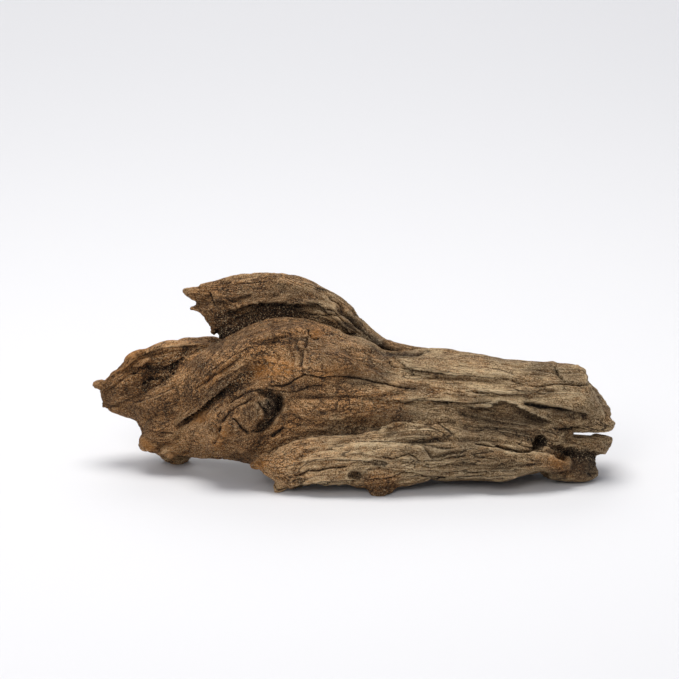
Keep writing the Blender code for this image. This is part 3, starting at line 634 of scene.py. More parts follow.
# Patterns of the finish: the space that each lies in, how often it repeats in a millimetre there,
# which in the fibres is along, across and into them, its detail, its roughness and its distortion
Pattern = namedtuple("Pattern", "space often detail roughness distortion")
PATTERNS = {
    "blotch": Pattern("place", (0.09, 0.09, 0.09), 5, 0.65, 0.0),
    "broad": Pattern("fibre", (0.018, 0.20, 0.20), 4, 0.6, 0.6),
    "streaks": Pattern("fibre", (0.06, 0.6, 0.6), 5, 0.7, 0.4),
    "long_threads": Pattern("fibre", (0.16, 1.9, 1.9), 2, 0.7, 0.2),
    "short_threads": Pattern("fibre", (0.8, 2.3, 2.3), 1, 0.7, 0.2),
    "flecks": Pattern("fibre", (0.40, 0.9, 0.9), 4, 0.75, 0.0),
    "grit": Pattern("place", (2.4, 2.4, 2.4), 1, 0.6, 0.0),
    "crumbs": Pattern("place", (1.5, 1.5, 1.5), 1, 0.5, 0.0),
    "tints": Pattern("fibre", (0.20, 0.5, 0.5), 3, 0.7, 0.0),
    "seams": Pattern("fibre", (0.03, 0.5, 0.5), 2, 0.5, 0.3),
    "pores": Pattern("fibre", (0.5, 1.6, 1.6), 1, 0.6, 0.0),
}
FLAKE_CELLS = (0.16, 0.46, 0.46)
FLAKE_BENDS = (0.5, 0.5, 0.5)
FLAKE_BEND = 0.9

# Where each mark of the finish starts and is full, and what it amounts to there
Fade = namedtuple("Fade", "low high at_low at_high", defaults=(0.0, 1.0))
FADES = {
    # line is the painted shade under a proud edge, and lip the painted highlight on it
    "line starts": Fade(-0.75, -0.15),
    "line ends": Fade(0.0, 0.12, 1.0, 0.0),
    "lip starts": Fade(0.0, 0.2),
    "lip ends": Fade(0.3, 1.4, 1.0, 0.0),
    "flaked": Fade(0.40, 0.60, 0.3, 1.0),
    "flake rim": Fade(0.02, 0.13, 1.0, 0.0),
    "flake rim in rust": Fade(0.0, 1.0, 0.35, 1.0),
    "seam": Fade(0.003, 0.014, 1.0, 0.0),
    "seams shown": Fade(0.45, 0.6),
    "pore": Fade(0.64, 0.72),
    "crack": Fade(0.2, 0.9, 1.0, 0.0),
    "crack clear": Fade(0.1, 0.45),
    "crack in streaks": Fade(0.3, 0.5, 0.5, 1.0),
    "split": Fade(0.1, 0.75, 0.85, 0.0),
    "split open": Fade(0.15, 0.7),
    "grit in rust": Fade(0.0, 1.0, 2.5, 2.8),
    "ochre flecks": Fade(0.3, 0.55),
    "hollow": Fade(0.35, 0.8),
    "hollow in grit": Fade(0.66, 0.40, 0.1, 1.0),
    "glint": Fade(0.62, 0.69),
    "roughness": Fade(0.0, 1.0, 0.92, 0.72),
}
RUST_BLOTCHES = (0.3, 0.75)
RUST_RANGE = 0.35

# How much flecks shift each kind of line sideways
RIM_JITTER = 0.3
CRACK_JITTER = 2.2
SPLIT_JITTER = 2.0
LEDGE_JITTER = 1.6
LAYER_JITTER = 1.2

# What each mark adds to the tone, to the dirt and painted shade, and to the relief. The lip is a
# painted highlight on a proud edge, and under is the painted shade below it.
MIDDLE_TONE = 0.50
# sunk darkens the tone where the skin is sunk and lightens it where it stands out
TONE_SHARES = {
    "pale": 0.30, "broad": 0.6, "streaks": 0.6, "flecks": 0.25, "crumbs": 0.1, "threads": 1.8,
    "grains": 1.0, "flake": 0.22, "highlight_lip": 0.36, "sunk": -0.42, "pore": -0.2, "dark": -0.25,
}
DIRT_AND_SHADE_SHARES = {"crack": 0.5, "rim": 0.75, "seam": 1.0, "hollow": 1.0, "split": 0.92, "under": 0.85}
RELIEF_SHARES = {
    "threads": 0.45, "grit": 0.7, "streaks": 0.9, "flake": 0.35, "rim": -0.4, "seam": -0.5,
    "split": -0.7, "under": -0.5, "pore": -0.3,
}
THIN_MARK = 0.6
SEAM_SHARE = 0.7
TINT_SHARE = 1.2
OCHRE_SHARE = 0.8
# How far the painted shade ovals darken the colour towards shadow
PAINTED_SHADE_SHARE = 0.75
GLINT_EVERYWHERE = 0.3
GLINT_SHARE = 0.8
BUMP_DEPTH = 0.0015
WOOD_SPECULAR = 0.25

# The stage: places are in metres and powers in watts
FLOOR_RADIUS = 12.0
FLOOR_POINTS = 96
FLOOR_ROUGHNESS = 0.7
FLOOR_SPECULAR = 0.2
Lamp = namedtuple("Lamp", "name place aim size power colour")
LAMPS = [
    Lamp("overhead", (-0.1, 0.1, 1.25), (0, 0, 0), 0.9, 13.5, (1.0, 0.98, 0.95)),
    Lamp("front", (-0.45, -1.7, 1.0), (0, 0, 0.03), 0.8, 12.0, (1.0, 0.97, 0.94)),
    Lamp("back", (-0.1, 1.7, 1.1), (-0.1, 1.3, 0), 1.3, 8.5, (1.0, 0.98, 0.95)),
]
STUDIO_COLOUR = (0.88, 0.91, 1.0, 1)
STUDIO_STRENGTH = 0.47


class DriftwoodShape(bpy.types.PropertyGroup):
    """How finely the wood is made and how deep the weather went."""

    trunk_cell: FloatProperty(
        name="Trunk Cell", description="Cell of the trunk's skin in mm; the face is made twice as fine",
        default=1.02, min=0.5, max=3.0,
    )
    limb_cell: FloatProperty(
        name="Limb Cell", description="The same for the branch and the root",
        default=0.85, min=0.5, max=3.0,
    )
    trunk_triangles: IntProperty(
        name="Trunk Triangles", description="Most triangles in the trunk", default=196000, min=1000,
    )
    limb_triangles: IntProperty(
        name="Limb Triangles", description="Most triangles in each other limb", default=110000, min=1000,
    )
    layer_height: FloatProperty(
        name="Layer Height", description="How far one worn layer stands over the next, in mm",
        default=0.55, min=0.0, max=3.0,
    )
    fibre_height: FloatProperty(
        name="Fibre Height", description="How far fibres stand out of the surface, in mm",
        default=0.36, min=0.0, max=2.0,
    )


class DriftwoodColours(bpy.types.PropertyGroup):
    """Colours of the weathered wood and of the floor."""

    # Shadow is the colour of the dirt in cracks and of all the painted shade
    shadow: FloatVectorProperty(
        name="Shadow", description="Dirt in the cracks", subtype="COLOR", default=(0.010, 0.005, 0.003),
    )
    umber: FloatVectorProperty(
        name="Umber", description="Dark fibres", subtype="COLOR", default=(0.080, 0.040, 0.018),
    )
    brown: FloatVectorProperty(
        name="Brown", description="Most of the warm wood", subtype="COLOR", default=(0.345, 0.158, 0.048),
    )
    olive: FloatVectorProperty(
        name="Olive", description="Most of the greyed wood", subtype="COLOR", default=(0.318, 0.208, 0.103),
    )
    # Bleached is also the colour of the painted glints
    bleached: FloatVectorProperty(
        name="Bleached", description="Worn ridges", subtype="COLOR", default=(0.720, 0.550, 0.330),
    )
    ochre: FloatVectorProperty(
        name="Ochre", description="Fresh orange wood", subtype="COLOR", default=(0.480, 0.195, 0.040),
    )
    floor: FloatVectorProperty(
        name="Floor", description="Plain floor", subtype="COLOR", default=(0.72, 0.72, 0.73),
    )


def ease(t):
    t = np.clip(t, 0, 1)
    return t * t * (3 - 2 * t)


def smooth_between(places, known, values):
    """Values at places, read from a smooth curve through the known ones."""
    slopes = np.gradient(values, known)
    first = np.clip(np.searchsorted(known, places) - 1, 0, len(known) - 2)
    span = known[first + 1] - known[first]
    t = np.clip((places - known[first]) / span, 0, 1)
    rise = 3 * t**2 - 2 * t**3
    from_first = (t - 2 * t**2 + t**3) * span * slopes[first]
    from_second = (t**3 - t**2) * span * slopes[first + 1]
    return (1 - rise) * values[first] + rise * values[first + 1] + from_first + from_second


def corner_shares(points, blend):
    """For each of a point's eight whole-numbered corners: its way there, its share and its key."""
    cell = np.floor(points).astype(np.int64)
    part = points - cell
    weight = blend(part)
    for corner in np.ndindex(2, 2, 2):
        key = (cell + corner) @ CORNER_KEYS % TABLE_SIZE
        share = np.where(np.array(corner) == 1, weight, 1 - weight).prod(axis=1)
        yield part - corner, share, key


def value_noise(points, seed):
    """Smooth noise from -1 to 1, with one random value at each whole-numbered corner."""
    table = np.random.default_rng(seed).uniform(-1, 1, TABLE_SIZE)
    corners = corner_shares(points, lambda t: t * t * (3 - 2 * t))
    return sum(share * table[key] for _, share, key in corners)


def slope_noise(points, seed):
    """Smooth noise round 0, with one random slope at each whole-numbered corner."""
    table = np.random.default_rng(seed).normal(size=(TABLE_SIZE, 3))
    table /= np.linalg.norm(table, axis=1)[:, None]
    corners = corner_shares(points, lambda t: t**3 * (t * (t * 6 - 15) + 10))
    return SLOPE_GAIN * sum(share * (way * table[key]).sum(axis=1) for way, share, key in corners)


def waves(points, noises, seed=0):
    """The sum of the noises at each point, each times its amount."""
    return sum(noise.amount * slope_noise(points / noise.size, noise.seed + seed) for noise in noises)


def bent(fibre, noise):
    """Places in the grain after the fibres have bent sideways."""
    return fibre + waves(fibre, [noise])[:, None] * ACROSS


def add_tube(shape, rings):
    """A closed tube through the rings: a ring of points is drawn out step by step, then fitted."""
    table = np.array(rings, float)
    steps = int(round((table[-1, 0] - table[0, 0]) / RING_GAP))
    made = bmesh.ops.create_circle(shape, cap_ends=True, segments=RING_POINTS, radius=1)
    tube = list(made["verts"])
    edges = list({edge for vert in tube for edge in vert.link_edges})
    for _ in range(steps):
        drawn = bmesh.ops.extrude_edge_only(shape, edges=edges)["geom"]
        edges = [item for item in drawn if isinstance(item, bmesh.types.BMEdge)]
        edges = [edge for edge in edges if all(vert in drawn for vert in edge.verts)]
        ring = [item for item in drawn if isinstance(item, bmesh.types.BMVert)]
        bmesh.ops.translate(shape, verts=ring, vec=(0, 0, 1))
        tube += ring
    bmesh.ops.contextual_create(shape, geom=edges)

    unit = np.array([vert.co for vert in tube])
    places = table[0, 0] + (table[-1, 0] - table[0, 0]) * unit[:, 2] / steps
    top, bottom, front, back = (
        smooth_between(places, table[:, 0], table[:, column]) for column in range(1, 5)
    )
    squared = np.sign(unit[:, :2]) * np.abs(unit[:, :2]) ** RING_POWER
    into = (front + back) / 2 + (back - front) / 2 * squared[:, 0]
    up = (top + bottom) / 2 + (top - bottom) / 2 * squared[:, 1]
    lower_half = (1 - squared[:, 1]) / 2
    up += lower_half * math.tan(FACE_LEAN) * (into - (front + back) / 2)
    for vert, place in zip(tube, np.column_stack([places, into, up])):
        vert.co = place


def add_lump(shape, lump):
    place = Matrix.Translation((lump.x, lump.into, lump.up))
    size = Matrix.Diagonal((lump.along, lump.deep, lump.high, 1))
    bmesh.ops.create_icosphere(shape, subdivisions=LUMP_FINENESS, radius=1, matrix=place @ size)


def add_spike(shape, spike):
    base, tip = (Vector((x, into, up)) for x, up, into in (spike.base, spike.tip))
    along = tip - base
    turn = along.to_track_quat("Z", "Y").to_matrix().to_4x4()
    bmesh.ops.create_cone(
        shape, cap_ends=True, segments=SPIKE_POINTS, radius1=spike.width,
        radius2=spike.width * SPIKE_TIP, depth=along.length,
        matrix=Matrix.Translation((base + tip) / 2) @ turn,
    )


def apply_modifier(obj, kind, **settings):
    """Adds one modifier to the object and applies it to its mesh."""
    modifier = obj.modifiers.new(kind.title(), kind)
    for name, value in settings.items():
        setattr(modifier, name, value)
    graph = bpy.context.evaluated_depsgraph_get()
    mesh = bpy.data.meshes.new_from_object(obj.evaluated_get(graph))
    obj.modifiers.clear()
    old, obj.data = obj.data, mesh
    bpy.data.meshes.remove(old)


def read(obj):
    """The object's points and the directions its surface faces."""
    points = np.empty(len(obj.data.vertices) * 3)
    facing = np.empty(len(obj.data.vertices) * 3)
    obj.data.vertices.foreach_get("co", points)
    obj.data.vertices.foreach_get("normal", facing)
    return points.reshape(-1, 3), facing.reshape(-1, 3)


def write(obj, points):
    obj.data.vertices.foreach_set("co", points.ravel())
    obj.data.update()


def beside(path, spots):
    """Each spot's distance from the path, left of it positive, and how far along the path it is."""
    corners = np.array(path, float)
    lengths = np.linalg.norm(np.diff(corners, axis=0), axis=1)
    nearest = np.full(len(spots), np.inf)
    signed = np.zeros(len(spots))
    along = np.zeros(len(spots))
    for number, (start, end, length) in enumerate(zip(corners, corners[1:], lengths)):
        way = (end - start) / length
        from_start = spots - start
        run = np.clip(from_start @ way, 0, length)
        gap = np.linalg.norm(from_start - run[:, None] * way, axis=1)
        closer = gap < nearest
        nearest = np.where(closer, gap, nearest)
        side = np.sign(way[0] * from_start[:, 1] - way[1] * from_start[:, 0])
        signed = np.where(closer, side * gap, signed)
        along = np.where(closer, (lengths[:number].sum() + run) / lengths.sum(), along)
    return signed, along


def fade_ends(along):
    return ease(along / END_SHARE) * ease((1 - along) / END_SHARE)


def oval(spots, mark):
    """Distance from a turned oval's middle, which is 1 at its rim."""
    turn = math.radians(mark.turn)
    east = spots[:, 0] - mark.x
    north = spots[:, 1] - mark.up
    long_way = (east * math.cos(turn) + north * math.sin(turn)) / mark.long
    short_way = (north * math.cos(turn) - east * math.sin(turn)) / mark.wide
    return np.hypot(long_way, short_way)


def cut_height(cut, spots):
    """How far a cut moves each spot outwards."""
    if isinstance(cut, Hollow):
        return -cut.depth * ease(HOLLOW_START - HOLLOW_FALL * oval(spots, cut))
    gap, along = beside(cut.path, spots)
    if isinstance(cut, Crack):
        return -cut.depth * np.exp(-((gap / (cut.width + CRACK_SOFTNESS)) ** 2)) * fade_ends(along)
    proud = cut.rise * np.exp(-np.abs(gap) / cut.reach)
    sunk = -cut.drop * np.exp(-np.abs(gap) / cut.under)
    return np.where(gap > 0, proud, sunk) * fade_ends(along)


def cut_box(cut):
    """A box on the face, outside which a cut does next to nothing."""
    if isinstance(cut, Hollow):
        middle = np.array([cut.x, cut.up])
        return middle - HOLLOW_REACH * cut.long, middle + HOLLOW_REACH * cut.long
    margin = LINE_REACH * (cut.width if isinstance(cut, Crack) else max(cut.reach, cut.under))
    corners = np.array(cut.path, float)
    return corners.min(axis=0) - margin, corners.max(axis=0) + margin


def near_cut(spots, cut, where):
    low, high = cut_box(cut)
    return np.flatnonzero(((spots > low) & (spots < high)).all(axis=1) & (where > 0))


def cut_away(spots, cuts, where):
    """The sum of the cuts at each spot, times where they bite."""
    rise = np.zeros(len(spots))
    for cut in cuts:
        near = near_cut(spots, cut, where)
        rise[near] += cut_height(cut, spots[near]) * where[near]
    return rise


def wander(points):
    """Spots on the face, shifted a little this way and that, so that cuts run unevenly."""
    return points[:, [0, 2]] + np.column_stack([waves(points, noises) for noises in WANDER_WAVES])


def line_places(spots, cuts, face, kind):
    """The way across the clearest crack or ledge at each spot, and how clear it is."""
    across = np.full(len(spots), NO_LINE)
    clear = np.zeros(len(spots))
    for cut in cuts:
        if isinstance(cut, kind):
            near = near_cut(spots, cut, face)
            gap, along = beside(cut.path, spots[near])
            clearness = np.exp(-((gap / MARK_REACH) ** 2)) * fade_ends(along) * face[near]
            if kind is Crack:
                gap = gap / cut.width
            else:
                clearness = clearness * min(1.0, (cut.rise + cut.drop) / FULL_STEP)
            better = clearness > clear[near]
            across[near[better]] = gap[better]
            clear[near[better]] = clearness[better]
    return across, clear


def fibre_places(points, grain, knot):
    """Places in the grain: along the fibres, across them on the face, and into the wood."""
    x, into, up = points.T
    names = sorted(grain)
    heights = []
    for name in names:
        line = np.array(grain[name], float)
        heights.append(smooth_between(x, line[:, 0], line[:, 1]))
    across = np.full(len(points), float(names[0]))
    across += np.minimum(up - heights[0], 0)
    for number in range(len(names) - 1):
        gap = heights[number + 1] - heights[number]
        share = np.clip((up - heights[number]) / np.maximum(gap, 1.0), 0, 1)
        across += (names[number + 1] - names[number]) * share
    across += np.maximum(up - heights[-1], 0)
    if knot:
        across += knot.depth * np.exp(-oval(points[:, [0, 2]], knot) ** 2)
    return np.column_stack([x, across, into])


def old_lumps(points):
    """The same lumps along the grain that the solids have."""
    fall = GRAIN_FALL * np.minimum(points[:, 0] - GRAIN_BEND_X, 0)
    grain = np.column_stack([points[:, 0], points[:, 1], points[:, 2] - fall])
    rise = sum(noise.amount * value_noise(grain / noise.size, noise.seed) for noise in LUMP_WAVES)
    line = value_noise(grain / LUMP_SPLITS.size, LUMP_SPLITS.seed)
    return rise - LUMP_SPLITS.amount * np.exp(-((line / LUMP_SPLIT_WIDTH) ** 2))


def plates(fibre, period, seed):
    """Worn layers that each stand a little higher or lower than the next.

    The layers are counted across the grain, and their edges wander along it. Gives the height, the
    count, which is whole at an edge, and the step up at the nearest edge.
    """
    count = (fibre[:, 1] + LAYER_TILT * fibre[:, 2]) / period + waves(fibre, LAYER_WAVES, seed)
    levels = np.random.default_rng(seed).uniform(-1, 1, LAYER_LEVELS)
    edge = np.round(count).astype(int)
    below = levels[edge % len(levels)]
    step = levels[(edge + 1) % len(levels)] - below
    return below + step * ease((count - edge) / LAYER_EDGE + 0.5), count, step


def layers(fibre, rough, shape):
    """Thick and thin layers: how they stand, their counts and the steps at their edges."""
    thick, thick_count, thick_step = plates(fibre, THICK_LAYER, THICK_SEED)
    thin, thin_count, thin_step = plates(fibre, THIN_LAYER, THIN_SEED)
    shown = ease(LAYERS_SHOWN_START + waves(fibre, [LAYERS_SHOWN])) * (1 - LAYERS_WORN * rough)
    rise = shape.layer_height * (thick + THIN_SHARE * thin) * shown
    none = np.zeros(len(fibre))
    counts = np.column_stack([thick_count, thin_count, none])
    return rise, counts, np.column_stack([thick_step, thin_step, none]) * shown[:, None]


def splits(fibre, rust):
    """Short open splits between fibres, where noise along the grain crosses zero.

    Gives their depth, and the noises in half widths of a split with how far splits are open.
    """
    places = bent(fibre, SPLIT_BEND)
    shown = ease(waves(fibre, [SPLITS_SHOWN]) + SPLITS_SHOWN_START - SPLITS_LOST_IN_RUST * rust)
    long_line = slope_noise(places / LONG_SPLIT.size, LONG_SPLIT.seed) / LONG_SPLIT_WIDTH
    short_line = slope_noise(places / SHORT_SPLIT.size, SHORT_SPLIT.seed) / SHORT_SPLIT_WIDTH
    depth = LONG_SPLIT.amount * np.exp(-long_line**2) + SHORT_SPLIT.amount * np.exp(-short_line**2)
    return depth * shown, np.column_stack([long_line, short_line, shown])


def fibres(fibre, shape):
    """Bundles of fibres of three sizes."""
    return shape.fibre_height * waves(bent(fibre, FIBRE_BEND), FIBRE_BUNDLES)


def pits(points, fibre, rough):
    """Short dents along the fibres, and crumbled wood where it is rough."""
    crumbled = CRUMBS_ALL_OVER + CRUMBS_WHERE_ROUGH * rough
    return waves(fibre, [DENTS]) + crumbled * waves(points, CRUMB_WAVES)


def ripples(points):
    """Growth ripples across the shoulder, two of them strong."""
    shown = ease(RIPPLE_EDGE - oval(points[:, [0, 2]], RIPPLES))
    place = points[:, 0] + RIPPLE_LEAN * (points[:, 2] - RIPPLE_LEAN_UP) + waves(points, [RIPPLE_BEND])
    strong = np.exp(-(((place - STRONG_RIPPLE_X) / STRONG_RIPPLE_WIDTH) ** 2))
    height = RIPPLES.amount + STRONG_RIPPLE * strong
    return shown * height * np.sin(2 * math.pi * place / RIPPLE_PERIOD)


def tones(points, own_patches):
    """How much of each tone a point has, painted through the wood from the face."""
    spots = points[:, [0, 2]]
    amounts = {}
    for tone in TONES:
        amounts[tone] = np.zeros(len(points))
        for patch in PATCHES[tone] + own_patches.get(tone, []):
            amount = patch.amount * ease(PATCH_EDGE - oval(spots, patch))
            amounts[tone] = np.maximum(amounts[tone], amount)
    return amounts


def settle(points, edges, rounds):
    """The points after each has moved to the middle of its neighbours, round after round."""
    count = len(points)
    ends = np.concatenate([edges[:, 0], edges[:, 1]])
    others = np.concatenate([edges[:, 1], edges[:, 0]])
    neighbours = np.bincount(ends, minlength=count)
    for _ in range(rounds):
        sums = [np.bincount(ends, weights=points[others, axis], minlength=count) for axis in range(3)]
        points = 0.5 * points + 0.5 * np.column_stack(sums) / neighbours[:, None]
    return points


def sunken(obj, points, facing):
    """How far each point lies below the skin near it and wide round it, from -1 to 1."""
    edges = np.empty(len(obj.data.edges) * 2, np.int32)
    obj.data.edges.foreach_get("vertices", edges)
    edges = edges.reshape(-1, 2)
    near = settle(points, edges, NEAR_ROUNDS)
    wide = settle(near, edges, WIDE_ROUNDS)
    sunk_near = ((near - points) * facing).sum(axis=1) / NEAR_SUNK
    sunk_wide = ((wide - near) * facing).sum(axis=1) / WIDE_SUNK
    return (np.clip(sunk_near, -1, 1) + np.clip(sunk_wide, -1, 1)) / 2


def add_attribute(obj, name, values):
    """Stores one number, or three, at each point."""
    kind, key = ("FLOAT", "value") if values.ndim == 1 else ("FLOAT_VECTOR", "vector")
    layer = obj.data.attributes.new(name, kind, "POINT")
    layer.data.foreach_set(key, values.ravel())


def ledge_places(points, spots, design, face):
    """The way across the clearest ledge, fine or broad, and how clear it is."""
    across_fine, clear_fine = line_places(spots, design.fine_cuts, face, Ledge)
    across_broad, clear_broad = line_places(points[:, [0, 2]], design.face_cuts, face, Ledge)
    return np.where(clear_fine > clear_broad, across_fine, across_broad), np.maximum(clear_fine, clear_broad)


def weather(obj, design, shape):
    """Wears the grain into the fine skin, and keeps what the finish needs at each point."""
    points, facing = read(obj)
    face = on_face(points, design.tubes[0])
    fibre = fibre_places(points, design.grain, design.knot)
    amounts = tones(points, design.patches)
    rough = amounts["dark"] * face
    rise, layer_counts, layer_steps = layers(fibre, np.maximum(rough, amounts["rust"]), shape)
    rise += fibres(fibre, shape)
    rise += pits(points, fibre, rough)
    opened, open_lines = splits(fibre, amounts["rust"])
    rise -= opened
    if design.knot:
        rise += ripples(points) * face
    spots = wander(points)
    fine = cut_away(spots, design.fine_cuts, face)
    across_crack, crack_clear = line_places(spots, design.fine_cuts, face, Crack)
    across_ledge, ledge_clear = ledge_places(points, spots, design, face)
    rise += fine
    points = points + facing * rise[:, None]
    write(obj, points)

    marks = {
        "fibre": fibre,
        "sunk": sunken(obj, points, facing),
        "crack": np.clip(-np.minimum(fine, 0) / FULL_CRACK + opened / FULL_CRACK, 0, 1),
        "across_crack": across_crack,
        "crack_clear": crack_clear,
        "across_ledge": across_ledge,
        "ledge_clear": ledge_clear,
        "layer_counts": layer_counts,
        "layer_steps": layer_steps,
        "open_lines": open_lines,
    }
    for tone in TONES:
        strength = face if tone in FACE_TONES else BACK_SHARE + (1 - BACK_SHARE) * face
        marks[tone] = amounts[tone] * strength
    for name, values in marks.items():
        add_attribute(obj, name, values)


def on_face(points, rings):
    """1 on the face and 0 on the back, which meet at the middle of the rings."""
    table = np.array(rings, float)
    middle = np.interp(points[:, 0], table[:, 0], (table[:, 3] + table[:, 4]) / 2)
    return ease((middle + SEAM_INTO - points[:, 1]) / SEAM_WIDTH)


def refine(obj, face):
    """Cuts each face of the mesh that lies on the wood's face in four."""
    form = bmesh.new()
    form.from_mesh(obj.data)
    on = face > FINE_FACE
    edges = [edge for edge in form.edges if on[edge.verts[0].index] and on[edge.verts[1].index]]
    bmesh.ops.subdivide_edges(form, edges=edges, cuts=1, use_grid_fill=True)
    form.to_mesh(obj.data)
    form.free()


def limb(name, design, cell, triangles, shape):
    """One limb of the wood, standing in its place in metres."""
    form = bmesh.new()
    for rings in design.tubes:
        add_tube(form, rings)
    for lump in design.lumps:
        add_lump(form, lump)
    for spike in design.spikes:
        add_spike(form, spike)
    bmesh.ops.recalc_face_normals(form, faces=form.faces)
    obj = bpy.data.objects.new(name, bpy.data.meshes.new(name))
    form.to_mesh(obj.data)
    form.free()
    bpy.context.scene.collection.objects.link(obj)

    apply_modifier(obj, "REMESH", mode="VOXEL", voxel_size=cell)
    points, facing = read(obj)
    face = on_face(points, design.tubes[0])
    rise = old_lumps(points)
    spots = points[:, [0, 2]]
    rise += cut_away(spots, design.face_cuts, face)
    rise += cut_away(spots, design.back_cuts, 1 - face)
    write(obj, points + facing * rise[:, None])

    refine(obj, face)
    weather(obj, design, shape)
    obj.data.calc_loop_triangles()
    share = min(1.0, triangles / len(obj.data.loop_triangles))
    apply_modifier(obj, "DECIMATE", ratio=share, use_collapse_triangulate=True)
    stand_up(obj)
    obj.data.name = name
    obj.data.shade_smooth()
    return obj


def stand_up(obj):
    """From the face frame in millimetres to metres; what would reach below the floor is worn flat."""
    lowest = FRONT_FOOT_INTO * math.sin(FACE_LEAN)
    lean = Matrix.Rotation(FACE_LEAN, 4, "X").inverted()
    centre = Matrix.Translation((-CENTRE_X, -CENTRE_Y, lowest))
    obj.data.transform(Matrix.Scale(METRES, 4) @ centre @ lean)
    points, _ = read(obj)
    points[:, 2] = np.maximum(points[:, 2], 0)
    write(obj, points)


class Nodes:
    """A material's nodes, added one after another."""

    def __init__(self, name):
        self.material = bpy.data.materials.new(name)
        self.material.use_nodes = True
        self.tree = self.material.node_tree
        self.shader = self.tree.nodes["Principled BSDF"]

    def add(self, kind, inputs=(), output=0, **settings):
        """Adds a node, sets or links its inputs, and gives the output that is asked for."""
        node = self.tree.nodes.new("ShaderNode" + kind)
        for name, value in settings.items():
            setattr(node, name, value)
        for key, value in dict(inputs).items():
            self.give(node.inputs[key], value)
        return node.outputs[output]

    def give(self, socket, value):
        if isinstance(value, bpy.types.NodeSocket):
            self.tree.links.new(value, socket)
        else:
            socket.default_value = value

    def stored(self, name, output="Fac"):
        return self.add("Attribute", output=output, attribute_name=name)

    def math(self, operation, first, second=0.0, clamp=False):
        return self.add("Math", {0: first, 1: second}, operation=operation, use_clamp=clamp)

    def product(self, first, *others):
        for other in others:
            first = self.math("MULTIPLY", first, other)
        return first

    def highest(self, first, *others):
        for other in others:
            first = self.math("MAXIMUM", first, other)
        return first

    def centred(self, value):
        return self.math("SUBTRACT", value, 0.5)

    def shifted(self, value, jitter, amount):
        return self.math("ADD", value, self.product(jitter, amount))

    def weighed(self, start, values, shares):
        """The start and the values, each times its share."""
        for name, share in shares.items():
            start = self.math("ADD", start, self.product(values[name], share))
        return start

    def parts(self, vector):
        node = self.add("SeparateXYZ", {"Vector": vector}).node
        return node.outputs["X"], node.outputs["Y"], node.outputs["Z"]

    def stretched(self, vector, scale):
        return self.add("Mapping", {"Vector": vector, "Scale": scale})

    def noise(self, vector, pattern):
        inputs = {
            "Vector": self.stretched(vector, pattern.often), "Scale": 1.0, "Detail": pattern.detail,
            "Roughness": pattern.roughness, "Distortion": pattern.distortion,
        }
        return self.add("TexNoise", inputs)

    def spread(self, value, low, high, new_low=0.0, new_high=1.0):
        inputs = {"Value": value, "From Min": low, "From Max": high, "To Min": new_low, "To Max": new_high}
        return self.add("MapRange", inputs, interpolation_type="SMOOTHSTEP")

    def fade(self, value, name):
        return self.spread(value, *FADES[name])

    def mix(self, share, first, second):
        """Mixes two colours; a plain colour is three numbers."""
        first, second = (
            value if isinstance(value, bpy.types.NodeSocket) else (*value, 1) for value in (first, second)
        )
        return self.add("Mix", {"Factor": share, 6: first, 7: second}, output=2, data_type="RGBA")

    def ramp(self, value, stops):
        """A colour for a value, blended between (place, colour) stops."""
        node = self.tree.nodes.new("ShaderNodeValToRGB")
        elements = node.color_ramp.elements
        while len(elements) < len(stops):
            elements.new(0.5)
        for element, (place, colour) in zip(elements, stops):
            element.position = place
            element.color = (*colour, 1)
        self.give(node.inputs[0], value)
        return node.outputs["Color"]


def flakes(wood, spaces, blotch, rust, jitter):
    """Small flakes of the skin, lighter or darker than the next, and the dark rims between them."""
    bend = wood.stretched(spaces["place"], FLAKE_BENDS)
    bend = wood.add("TexNoise", {"Vector": bend, "Scale": 1.0}, "Color")
    bend = wood.add("VectorMath", {0: bend, "Scale": FLAKE_BEND}, operation="SCALE")
    cells = wood.stretched(spaces["fibre"], FLAKE_CELLS)
    cells = wood.add("VectorMath", {0: cells, 1: bend}, operation="ADD")
    cells = {"Vector": cells, "Scale": 1.0}
    flaked = wood.fade(blotch, "flaked")
    rim = wood.add("TexVoronoi", cells, "Distance", feature="DISTANCE_TO_EDGE")
    rim = wood.fade(wood.shifted(rim, jitter, RIM_JITTER), "flake rim")
    rim = wood.product(rim, flaked, wood.fade(rust, "flake rim in rust"))
    flake = wood.centred(wood.parts(wood.add("TexVoronoi", cells, "Color"))[0])
    return wood.product(flake, flaked), rim


def split_marks(wood, streaks, jitter):
    """Dark lines in the cracks and in the short open splits."""
    crack = wood.shifted(wood.math("ABSOLUTE", wood.stored("across_crack")), jitter, CRACK_JITTER)
    clear = wood.fade(wood.stored("crack_clear"), "crack clear")
    dark = wood.product(wood.fade(crack, "crack"), clear, wood.fade(streaks, "crack in streaks"))
    long_line, short_line, shown = wood.parts(wood.stored("open_lines", "Vector"))
    for line in (long_line, short_line):
        split = wood.shifted(wood.math("ABSOLUTE", line), jitter, SPLIT_JITTER)
        split = wood.product(wood.fade(split, "split"), wood.fade(shown, "split open"))
        dark = wood.highest(dark, split)
    return dark


def edge_marks(wood, across, height):
    """Painted shade under a proud edge and a painted highlight on its lip; across is in mm, proud above 0.
    """
    line = wood.product(wood.fade(across, "line starts"), wood.fade(across, "line ends"), height)
    highlight_lip = wood.product(wood.fade(across, "lip starts"), wood.fade(across, "lip ends"), height)
    return line, highlight_lip


def layer_marks(wood, count, step, period, jitter):
    """The same for the edges of the layers, which lie where the count is whole."""
    across = wood.centred(wood.math("FRACT", wood.math("ADD", count, 0.5)))
    across = wood.product(across, period, wood.math("SIGN", step))
    across = wood.shifted(across, jitter, LAYER_JITTER)
    return edge_marks(wood, across, wood.math("ABSOLUTE", step, clamp=True))


